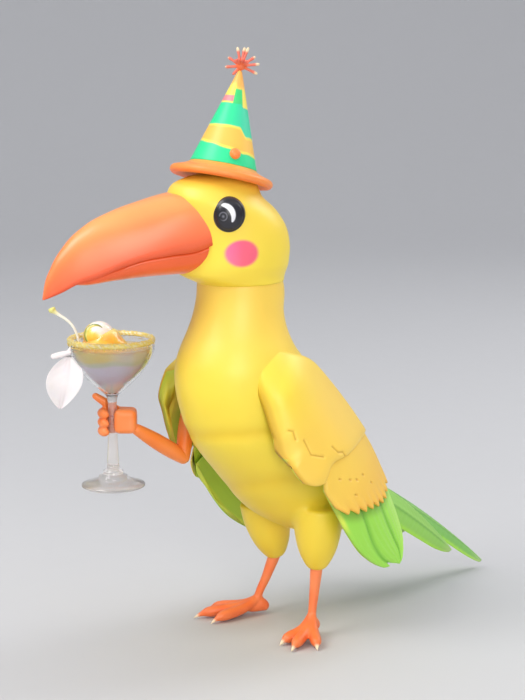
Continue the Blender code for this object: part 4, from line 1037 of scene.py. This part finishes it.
def make_tail():
    blades = (("middle", (0, 30.3, 58.4), (0, 115.8, 3.4), 17.0, 2.6, 34, 1.5),
              ("left", (5.5, 28.0, 56.2), (7.6, 87.0, 15.6), 16.5, 2.2, 56, 1.6),
              ("right", (-5.5, 28.0, 56.0), (-6.0, 71.0, 24.0), 12.5, 2.2, -38, 1.6))
    for label, root, tip, width, thickness, roll, arch in blades:
        rows, side, up = feather_rows(root, tip, width, thickness, roll, arch, 2.2)
        count, around = rows.shape[:2]
        lean = np.tile(np.cos(np.linspace(0, math.tau, around, endpoint=False)), count)
        reach = np.repeat(np.linspace(0, 1, count), around)
        lean, reach = np.append(lean, (0, 0)), np.append(reach, (0, 1))

        def paint(points):
            face = tone(124, 190, 84) if label == "middle" else tone(146, 204, 88)
            colour = mixed(face, tone(166, 226, 74), step(0.74, 0.95, np.abs(lean)))
            colour = mixed(colour, tone(84, 152, 56), 0.7 * hump(lean, 0.16, 0.07))
            colour = mixed(colour, tone(164, 214, 110), 0.6 * hump(lean, 0, 0.09))
            return mixed(colour, tone(182, 210, 134), 0.6 * step(0.86, 1.0, reach))

        piece(f"tail_{label}_blade", grid(rows), BODY, "torso", WING_VINYL, paint,
              (f"tail_feather_{label}",))


# ---------------------------------------------------------------- legs

TOES = {"left": ((-2, 17.2), (23, 20.2), (54, 17.2)),
        "right": ((-6, 24.0), (-28, 27.6), (-50, 22.0))}
# Share of the toe, height of its middle, radius
TOE_STATIONS = ((0.0, 12.0, 1.7), (0.12, 8.4, 1.9), (0.3, 5.0, 2.1), (0.5, 3.4, 2.3), (0.68, 2.8, 2.3),
                (0.79, 2.5, 1.9), (0.86, 2.0, 1.1), (0.93, 1.2, 0.7), (1.0, 0.2, 0.15))
WEB_STATIONS = ((0.0, 10.0, 1.6), (0.2, 5.6, 1.8), (0.42, 3.0, 1.5), (0.6, 1.9, 1.0), (0.66, 1.6, 0.5))
FOOT_LEVEL = 3.0                         # above this, a toe's height shrinks by its foot's rise
FOOT_RISE = {"left": 0.74, "right": 0.46}
WEB_REACH = {"left": (0.85, 0.5), "right": (0.95, 0.9)}


def toe_rod(ankle, degrees, reach, rise, stations):
    turn = math.radians(degrees)
    way = np.array((math.sin(turn), -math.cos(turn), 0))
    path = [np.array((*ankle[:2], min(height, FOOT_LEVEL) + max(height - FOOT_LEVEL, 0) * rise))
            + way * reach * share for share, height, _ in stations]
    return rod(path, [radius for _, _, radius in stations], 20, 70), path


def make_leg(label):
    knee, up, ankle = leg_line(label)
    heading = math.radians(TOES[label][1][0])
    ahead = np.array((math.sin(heading), -math.cos(heading), 0))
    down = (ankle - knee) / np.linalg.norm(ankle - knee)
    shank = rod([knee - down * 3, knee + down, knee * 0.5 + ankle * 0.5, ankle, ankle + (0, 0, -2.5)],
                (2.5, 2.5, 2.0, 1.85, 2.2), 28, 60)
    heel = np.array((*ankle[:2], 4.6 if label == "left" else 3.6))
    shapes = [shank, capsule(ankle, heel - ahead * 2.6, 1.9, 2.3),
              capsule(heel + ahead * 3, heel - ahead * 2, 2.4, 2.2)]
    lines, tips = [], []
    toes = TOES[label]
    for degrees, reach in toes:
        shape, path = toe_rod(ankle, degrees, reach, FOOT_RISE[label], TOE_STATIONS)
        shapes.append(shape)
        lines.append(path)
        tips.append(path[-1])
    for (turn_0, reach_0), (turn_1, reach_1), web in zip(toes, toes[1:], WEB_REACH[label]):
        for share in (0.3, 0.5, 0.7):
            mean_turn = turn_0 + (turn_1 - turn_0) * share
            mean_reach = reach_0 + (reach_1 - reach_0) * share
            shapes.append(toe_rod(ankle, mean_turn, mean_reach * web, FOOT_RISE[label], WEB_STATIONS)[0])
    points, faces = fused(shapes, 0.38, 7)
    points[:, 2] = np.maximum(points[:, 2], 0.0)

    level = np.array((1, 1, 0))

    def paint(local):
        colour = mixed(tone(250, 132, 78), tone(250, 118, 58), step(26, 10, local[:, 2]))
        # Painted shade: darker orange between the toes, low down on the foot
        to_toe = np.min([near_segment(local * level, start * level, end * level)
                         for line in lines for start, end in zip(line, line[1:])], axis=0)
        colour = mixed(colour, tone(236, 92, 30), 0.75 * step(1.5, 2.8, to_toe) * step(9, 5, local[:, 2]))
        colour = mixed(colour, PEACH, 0.2 + 0.2 * value_noise(local, 5.0))
        claw = np.min([np.linalg.norm(local - tip, axis=1) for tip in tips], axis=0)
        return mixed(colour, CREAM, step(3.6, 2.0, claw))

    piece(f"{label}_leg_skin", (points, faces), BODY, "torso", LIMB_VINYL, paint, (f"{label}_leg",))


# ---------------------------------------------------------------- arm and hand

ARM_RADIUS = 2.45
PALM_LOW, PALM_HIGH = 83.8, 93.4
FINGER_PITCH, FINGER_RADIUS = 3.5, 1.85
ELBOW_RISE = 0.9                         # the skins bend this far above the elbow's pin
STEM_CLEARANCE = 2.6                     # inner radius of the grip round the glass's stem


def arm_paint(points):
    colour = np.tile(tone(251, 132, 48), (len(points), 1))
    return mixed(colour, tone(255, 158, 92), 0.3 + 0.3 * value_noise(points, 7.0, 5.0))


def make_arm():
    lift = Vector((0, 0, ELBOW_RISE))
    bend = Vector(ELBOW) + lift
    upper = capsule(SHOULDER, bend, ARM_RADIUS + 0.1, ARM_RADIUS + 0.25, 40)
    lower = capsule(bend, Vector(WRIST) + lift * 0.5, ARM_RADIUS + 0.2, ARM_RADIUS - 0.25, 40)
    for name, shape in (("upper_arm", upper), ("forearm", lower)):
        piece(f"{name}_skin", shape, BODY, name, LIMB_VINYL, arm_paint, (name,))
    palm = rounded_box((0.8, -4.7, PALM_LOW), (9.5, 4.6, PALM_HIGH), 2.2)
    shapes = [palm]
    for number in range(3):
        height = PALM_HIGH - 1.9 - number * FINGER_PITCH
        turns = np.radians(np.linspace(55, 256, 12))
        path = [(4.0 * math.cos(turn), 4.0 * math.sin(turn), height) for turn in turns]
        radii = [FINGER_RADIUS] * 11 + [1.6, 0.5]
        shapes.append(rod([(5.5, 3.0, height)] + path, radii, 20, 60))
    shapes.append(capsule((2.6, 2.8, PALM_HIGH - 2.0), (-6.6, 1.2, PALM_HIGH + 4.5), 1.55, 1.35))
    points, faces = fused(shapes, 0.34, 5)
    reach = np.hypot(points[:, 0], points[:, 1])
    push = np.where(reach < STEM_CLEARANCE, STEM_CLEARANCE / np.maximum(reach, 0.3), 1.0)
    points[:, :2] *= push[:, None]

    def paint(local):
        colour = np.tile(tone(251, 130, 56), (len(local), 1))
        # Painted shade in the gaps between the fingers
        groove = (PALM_HIGH - 3.65 - local[:, 2]) / FINGER_PITCH
        between = hump(groove - np.round(groove), 0, 0.12) * (local[:, 0] < 0.5) * (groove > -0.5)
        colour = mixed(colour, tone(236, 96, 30), 0.6 * between)
        return mixed(colour, tone(255, 160, 100), 0.3 + 0.25 * value_noise(local, 4.0, 7.0))

    piece("hand_skin", (points, faces), HAND, "forearm", LIMB_VINYL, paint, ("hand",))


# ---------------------------------------------------------------- glass and garnish

FOOT_Z, RIM_Z, DRINK_Z, STEM, RIM = 62.2, 120.6, 117.4, 1.8, 16.5
BOWL = ((2.2, 98.4), (7.0, 102.6), (11.6, 107.4), (14.8, 111.8), (16.4, 115.6))
BALL, BALL_RADIUS = (-2.4, -4.0, 121.5), 6.2
MILKY_BELOW = 98.5                       # under the bowl, the glass is frosted
LEAF_TOP, LEAF_LENGTH, LEAF_MIDDLE, LEAF_DRIFT = 115.0, 20.2, -15.6, -3.6


def glass_profile():
    foot = [(0.02, FOOT_Z), (11.4, FOOT_Z), (12.4, FOOT_Z + 0.5), (12.35, FOOT_Z + 1.0), (9.0, 64.4),
            (5.9, 65.0), (5.5, 65.7), (5.5, 66.6), (4.3, 67.0), (4.0, 67.8), (3.9, 68.6), (2.9, 69.1),
            (2.5, 70.0)]
    stem = along(((2.5, 70.0), (2.15, 76.0), (STEM, 84.0), (1.75, 92.0), (STEM, 96.0), (2.3, 98.4)), 24)
    wall = along(tuple(BOWL) + ((RIM, RIM_Z),), 40)
    lip = [(RIM - 0.25, RIM_Z + 0.3), (RIM - 0.85, RIM_Z + 0.3), (RIM - 1.1, RIM_Z)]
    inside = [(radius - 1.2, height + 0.5) for radius, height in wall[::-1]
              if radius > 3.2 and height < 119]
    return foot + stem.tolist() + wall[1:].tolist() + lip + inside + [(0.9, 100.3), (0.02, 100.2)]


def drink_shape():
    wall = [(radius - 1.35, height + 0.6) for radius, height in along(BOWL, 36) if radius > 3.4]
    wall = [(0.02, 100.7), (1.4, 101.0)] + wall + [(RIM - 1.4, DRINK_Z)]
    rows = [(reach, DRINK_Z) for reach in np.linspace(RIM - 2.0, 0.5, 26)]
    points, faces = lathe(wall + rows + [(0.02, DRINK_Z)], 110)
    reach = np.hypot(points[:, 0] - BALL[0] - 0.6, points[:, 1] - BALL[1])
    top = points[:, 2] > DRINK_Z - 0.01
    inner = step(RIM - 1.5, RIM - 3.5, np.hypot(points[:, 0], points[:, 1]))
    swirl = 0.18 * value_noise(points, 2.2) * inner
    points[:, 2] += top * (1.9 * hump(reach, 0, 8.0) * inner + swirl)
    return points, faces


def drink_paint(points):
    """Layers of the mixed drink, with a streak of syrup on its left."""
    height = points[:, 2] + 1.0 * value_noise(points, 5.0, 4.0)
    left = points[:, 0] * math.cos(HAND_YAW) + points[:, 1] * math.sin(HAND_YAW)
    colour = mixed(tone(246, 238, 226), tone(234, 212, 228), step(102.5, 106.0, height))
    colour = mixed(colour, tone(236, 222, 240), step(107.0, 109.5, height))
    colour = mixed(colour, tone(218, 216, 188), step(111.3, 112.6, height))
    top = mixed(tone(242, 216, 120), tone(232, 222, 200), step(-2, 7, left))
    colour = mixed(colour, top, step(112.6, 114.6, height))
    streak = hump(height, 104.6, 1.1) * step(-1, -5, left)
    colour = mixed(colour, tone(206, 112, 118), 0.75 * streak)
    return mixed(colour, tone(250, 196, 92), 0.8 * step(117.0, 118.0, points[:, 2]))


CRYSTALS = 2200


def sugar_shape():
    """A crust of small crystals round the rim, over a thin ring that holds them."""
    rng = np.random.default_rng(11)
    ring = ring_profile([(RIM - 1.4, 119.8), (RIM - 1.42, 120.9), (RIM - 0.6, 121.25), (RIM + 0.25, 120.9),
                         (RIM + 0.3, 119.9), (RIM + 0.14, 119.3), (RIM + 0.1, 119.3), (RIM + 0.12, 120.75),
                         (RIM - 1.2, 120.75), (RIM - 1.25, 119.8)], 120)
    shapes = [ring]
    for _ in range(CRYSTALS):
        turn, swing, keep = rng.uniform(0, math.tau), rng.uniform(-0.9, 3.4), rng.uniform()
        rightness = math.cos(turn - HAND_YAW)
        if keep < 0.75 * max(rightness, 0.0):
            continue
        reach = RIM - 0.5 + 0.85 * math.cos(swing)
        height = 120.4 + (0.9 * math.sin(swing) if swing > 0 else 2.6 * math.sin(swing))
        size = rng.uniform(0.13, 0.3)
        corners = rng.normal(size=(6, 3)) * 0.25 * size
        corners += size * np.array(((1, 0, 0), (-1, 0, 0), (0, 1, 0), (0, -1, 0), (0, 0, 1), (0, 0, -1)))
        centre = np.array((reach * math.cos(turn), reach * math.sin(turn), height))
        faces = [[0, 2, 4], [2, 1, 4], [1, 3, 4], [3, 0, 4], [2, 0, 5], [1, 2, 5], [3, 1, 5], [0, 3, 5]]
        shapes.append((corners + centre, faces))
    return merged(shapes)


def sugar_paint(points):
    grain = np.sin(points[:, 0] * 9.1) * np.sin(points[:, 1] * 8.3) * np.sin(points[:, 2] * 7.7)
    colour = mixed(tone(246, 214, 92), tone(252, 242, 206), step(-0.2, 0.6, grain))
    return mixed(colour, tone(246, 196, 76), 0.5 * step(119.8, 118.6, points[:, 2]))


def mound_shape():
    """A soft heap of fruit pulp that the ball sits in, above the drink's surface."""
    profile = [(0.02, 117.6), (7.4, 117.6), (8.8, 118.4), (8.3, 119.8), (7.1, 121.2), (6.3, 122.4),
               (5.6, 123.4), (4.6, 124.3), (3.2, 124.9), (1.6, 125.2), (0.02, 125.3)]
    points, faces = lathe(along(profile, 60), 120)
    around = np.arctan2(points[:, 1], points[:, 0])
    height = points[:, 2]
    rough = 1 + 0.02 * np.sin(around * 3 + height * 1.1) + 0.012 * np.sin(around * 7 - height * 1.9)
    points[:, :2] *= rough[:, None]
    return points, faces


def mound_paint(points):
    colour = mixed(tone(250, 206, 84), tone(250, 182, 66), step(-0.6, 0.8, value_noise(points, 3.0, 8.0)))
    return mixed(colour, tone(252, 226, 130), step(121.5, 124.5, points[:, 2]))


def ball_paint(points):
    way = points / np.linalg.norm(points, axis=1)[:, None]
    colour = mixed(tone(248, 196, 60), tone(250, 216, 96), step(-0.2, 0.5, way[:, 2]))
    # A painted highlight: a near-white patch on the ball's top
    colour = mixed(colour, tone(248, 242, 232), step(0.6, 0.85, way[:, 2] + 0.5 * way[:, 0]))
    return mixed(colour, tone(244, 136, 44), 0.6 * step(0.2, -0.5, way[:, 2]))


def slice_shape():
    """A plump wedge of fruit with a thin rind round its edge."""
    rim = [(4.15 - 0.35 * (1 - math.cos(turn)), 0.9 * math.sin(turn)) for turn in np.linspace(-1.4, 1.4, 9)]
    profile = [(0.02, -1.15), (1.5, -1.1), (3.2, -0.95)] + rim + [(3.2, 0.95), (1.5, 1.1), (0.02, 1.15)]
    return lathe(profile, 72)


def slice_paint(points):
    reach = np.hypot(points[:, 0], points[:, 1])
    turn = np.arctan2(points[:, 1], points[:, 0])
    flesh = mixed(tone(228, 216, 74), tone(240, 232, 120), hump(np.abs(np.sin(turn * 4)), 1, 0.25))
    colour = mixed(flesh, tone(244, 240, 190), hump(reach, 3.45, 0.2))
    return mixed(colour, tone(112, 134, 40), step(3.65, 3.9, reach))


def leaf_rows():
    made = []
    turns = np.linspace(0, math.tau, 44, endpoint=False)
    for share in np.linspace(0, 1, 70):
        half = 6.9 * math.sin(math.pi * (0.02 + 0.975 * share) ** 0.86) ** 0.8 + 0.12
        height, drift = LEAF_TOP - LEAF_LENGTH * share, LEAF_MIDDLE + LEAF_DRIFT * share
        bow = -0.8 + 1.6 * math.sin(math.pi * share)
        lean = np.cos(turns)
        rib = 0.5 * np.exp(-(lean / 0.07) ** 2)
        thick = 0.42 * np.sin(turns) * (1 + rib) + 0.03 * np.sin(share * 34 - np.abs(lean) * 9)
        made.append(np.stack([drift + half * lean, -7.4 - bow + thick - 1.6 * lean ** 2,
                              np.full(44, height)], -1))
    return np.array(made)


def leaf_paint(points):
    rib = np.abs(points[:, 0] - LEAF_MIDDLE - LEAF_DRIFT * (LEAF_TOP - points[:, 2]) / LEAF_LENGTH)
    colour = mixed(tone(236, 230, 231), tone(216, 204, 208), 0.8 * hump(rib, 0.5, 0.4))
    return mixed(colour, tone(244, 236, 236), 0.5 + 0.4 * value_noise(points, 5.0))


def make_glass():
    shell = piece("glass_shell", lathe(glass_profile(), 128), GLASS, "glass", GLASS_CLEAR,
                  plain(tone(240, 240, 240)), ("cocktail_glass",))
    shell.data.materials.append(GLASS_MILKY)
    for face in shell.data.polygons:
        face.material_index = int(face.center.z < MILKY_BELOW * MM)
    piece("drink_filling", drink_shape(), GLASS, "glass", DRINK, drink_paint, ("drink",))
    piece("sugar_crust", sugar_shape(), GLASS, "glass", SUGAR, sugar_paint, ("sugar_rim",))
    piece("fruit_mound", mound_shape(), GLASS @ Matrix.Translation((-1.2, -2.5, 0)), "glass",
          FRUIT_GLOSS, mound_paint, ())
    turns = np.linspace(0.03, math.pi - 0.03, 40)
    ball = lathe([(BALL_RADIUS * math.sin(t), -BALL_RADIUS * math.cos(t)) for t in turns], 72)
    piece("fruit_ball_skin", ball, GLASS @ Matrix.Translation(BALL), "glass", FRUIT_GLOSS, ball_paint,
          ("fruit_ball",))
    slice_place = (HAND @ Matrix.Translation((-5.8, -4.6, 123.0)) @ Matrix.Rotation(math.radians(-28), 4, "Y")
                   @ Matrix.Rotation(math.radians(72), 4, "X"))
    piece("fruit_slice", slice_shape(), slice_place, "glass", FRUIT_GLOSS, slice_paint, ("lime_slice",))
    path = ((-11.6, -6.3, 118.6), (-12.0, -6.3, 121.4), (-12.7, -6.3, 123.8), (-13.6, -6.3, 125.8),
            (-15.0, -6.3, 127.8), (-16.9, -6.2, 129.4), (-19.1, -6.0, 130.8), (-20.9, -5.8, 132.0),
            (-21.9, -5.6, 132.9), (-22.2, -5.5, 133.5))
    stick = rod(path, (0.5, 0.5, 0.5, 0.5, 0.52, 0.55, 0.62, 0.85, 1.45, 1.1), 24, 90)
    tip = np.array(path[-1])
    piece("garnish_stick_skin", stick, HAND, "glass", LEAF_FINISH,
          lambda points: mixed(tone(240, 238, 222), tone(232, 228, 124),
                               step(4.5, 1.0, np.linalg.norm(points - tip, axis=1))),
          ("garnish_stick",))
    petiole = capsule((-15.2, -7.4, 116.6), (-21.6, -6.8, 114.9), 0.9, 1.05)
    hook = rod(((-16.6, -7.2, 116.2), (-15.4, -6.9, 117.4), (-14.6, -6.4, 118.6)), (0.7, 0.7, 0.7), 16, 20)
    piece("garnish_leaf_skin", merged([grid(leaf_rows()), petiole, hook]), HAND, "glass",
          LEAF_FINISH, leaf_paint, ("garnish_leaf",))


# ---------------------------------------------------------------- carried-over solids

KEPT = {STEEL: ("neck_pin", "jaw_hinge_pin", "shoulder_pin", "elbow_pin", "left_hip_peg", "right_hip_peg"),
        IRON: ("ballast_weight",),
        INNER_YELLOW: ("neck_bush", "left_wing_peg", "right_wing_peg"),
        INNER_ORANGE: ("hat_peg",)}


def finish_kept_nodes():
    for finish, names in KEPT.items():
        for name in names:
            node = frame["nodes"][name]
            node.data.materials.clear()
            node.data.materials.append(finish)


# ---------------------------------------------------------------- camera, floor and light

AZIMUTH, ELEVATION = math.radians(48), math.radians(10)
CAMERA_REACH, CAMERA_LENS = 693.07, 90.0
CAMERA_TARGET = Vector((-8.31, -9.23, 113.10))


def make_camera():
    data = bpy.data.cameras.new("camera")
    data.lens, data.sensor_width = CAMERA_LENS, 36.0
    camera = bpy.data.objects.new("camera", data)
    bpy.context.collection.objects.link(camera)
    back = Vector((math.sin(AZIMUTH) * math.cos(ELEVATION), -math.cos(AZIMUTH) * math.cos(ELEVATION),
                   math.sin(ELEVATION)))
    camera.location = ORIGIN + (CAMERA_TARGET + back * CAMERA_REACH) * MM
    camera.rotation_mode = "QUATERNION"
    camera.rotation_quaternion = (-back).to_track_quat("-Z", "Y")
    data.clip_start, data.clip_end = 0.01, 20.0
    bpy.context.scene.camera = camera


def area_light(name, place, target, size, power, colour):
    data = bpy.data.lights.new(name, "AREA")
    data.shape, data.size, data.energy, data.color = "DISK", size, power, colour
    light = bpy.data.objects.new(name, data)
    bpy.context.collection.objects.link(light)
    light.location = place
    light.rotation_mode = "QUATERNION"
    light.rotation_quaternion = (Vector(target) - Vector(place)).to_track_quat("-Z", "Y")


FLAT_INNER, FLAT_OUTER, SWEEP_RADIUS, STAGE_SIDES = 0.6, 1.3, 1.2, 128
FLOOR_COLOUR, SKY_COLOUR = (0.56, 0.56, 0.57, 1), (0.93, 0.95, 1.0, 1)
WARM, WHITE, LIGHT_SIZE = (1.0, 0.98, 0.94), (1.0, 1.0, 1.0), 0.6
# Name, place from the figure's middle in metres, power, colour
LIGHTS = (("key", (-0.15, -0.75, 0.75), 6.4, WARM), ("fill", (0.88, -0.6, 0.3), 5.0, WARM),
          ("rim", (0.2, 0.9, 0.7), 4.2, WHITE))


def make_floor():
    """A pale floor that curves up all round into a backdrop, far from the figure."""
    sweep = [(FLAT_INNER, 0.0), (FLAT_OUTER, 0.0)]
    sweep += [(FLAT_OUTER + SWEEP_RADIUS * math.sin(turn), SWEEP_RADIUS - SWEEP_RADIUS * math.cos(turn))
              for turn in np.linspace(0.1, 1.5, 24)]
    sweep.append((2.55, 2.6))
    points, faces = grid(turned(sweep, STAGE_SIDES), poles=False)
    faces.append(list(range(STAGE_SIDES))[::-1])
    floor_mesh = bpy.data.meshes.new("floor")
    floor_mesh.from_pydata(points.tolist(), [], faces)
    floor_mesh.shade_smooth()
    floor = bpy.data.objects.new("floor", floor_mesh)
    bpy.context.collection.objects.link(floor)
    made, nodes, links, shader = new_material("pale_floor")
    grain_nodes(nodes, links, shader, 40.0, 0.02, 0.6, 0.75)
    set_inputs(shader, Base_Color=FLOOR_COLOUR)
    floor_mesh.materials.append(made)


def make_lights():
    world = bpy.data.worlds.new("studio")
    world.use_nodes = True
    set_inputs(world.node_tree.nodes["Background"], Color=SKY_COLOUR, Strength=1.0)
    bpy.context.scene.world = world
    middle = (cad_low + cad_high) / 2
    for name, offset, power, colour in LIGHTS:
        area_light(name, middle + Vector(offset), middle, LIGHT_SIZE, power, colour)


bpy.context.scene.view_settings.view_transform = "Standard"
make_camera()
make_floor()
make_lights()
make_body()
make_head()
make_hat()
for wing_side, wing_label in ((1, "left"), (-1, "right")):
    make_wing(wing_side, wing_label)
make_tail()
for leg_label in LEG_LINES:
    make_leg(leg_label)
make_arm()
make_glass()
finish_kept_nodes()
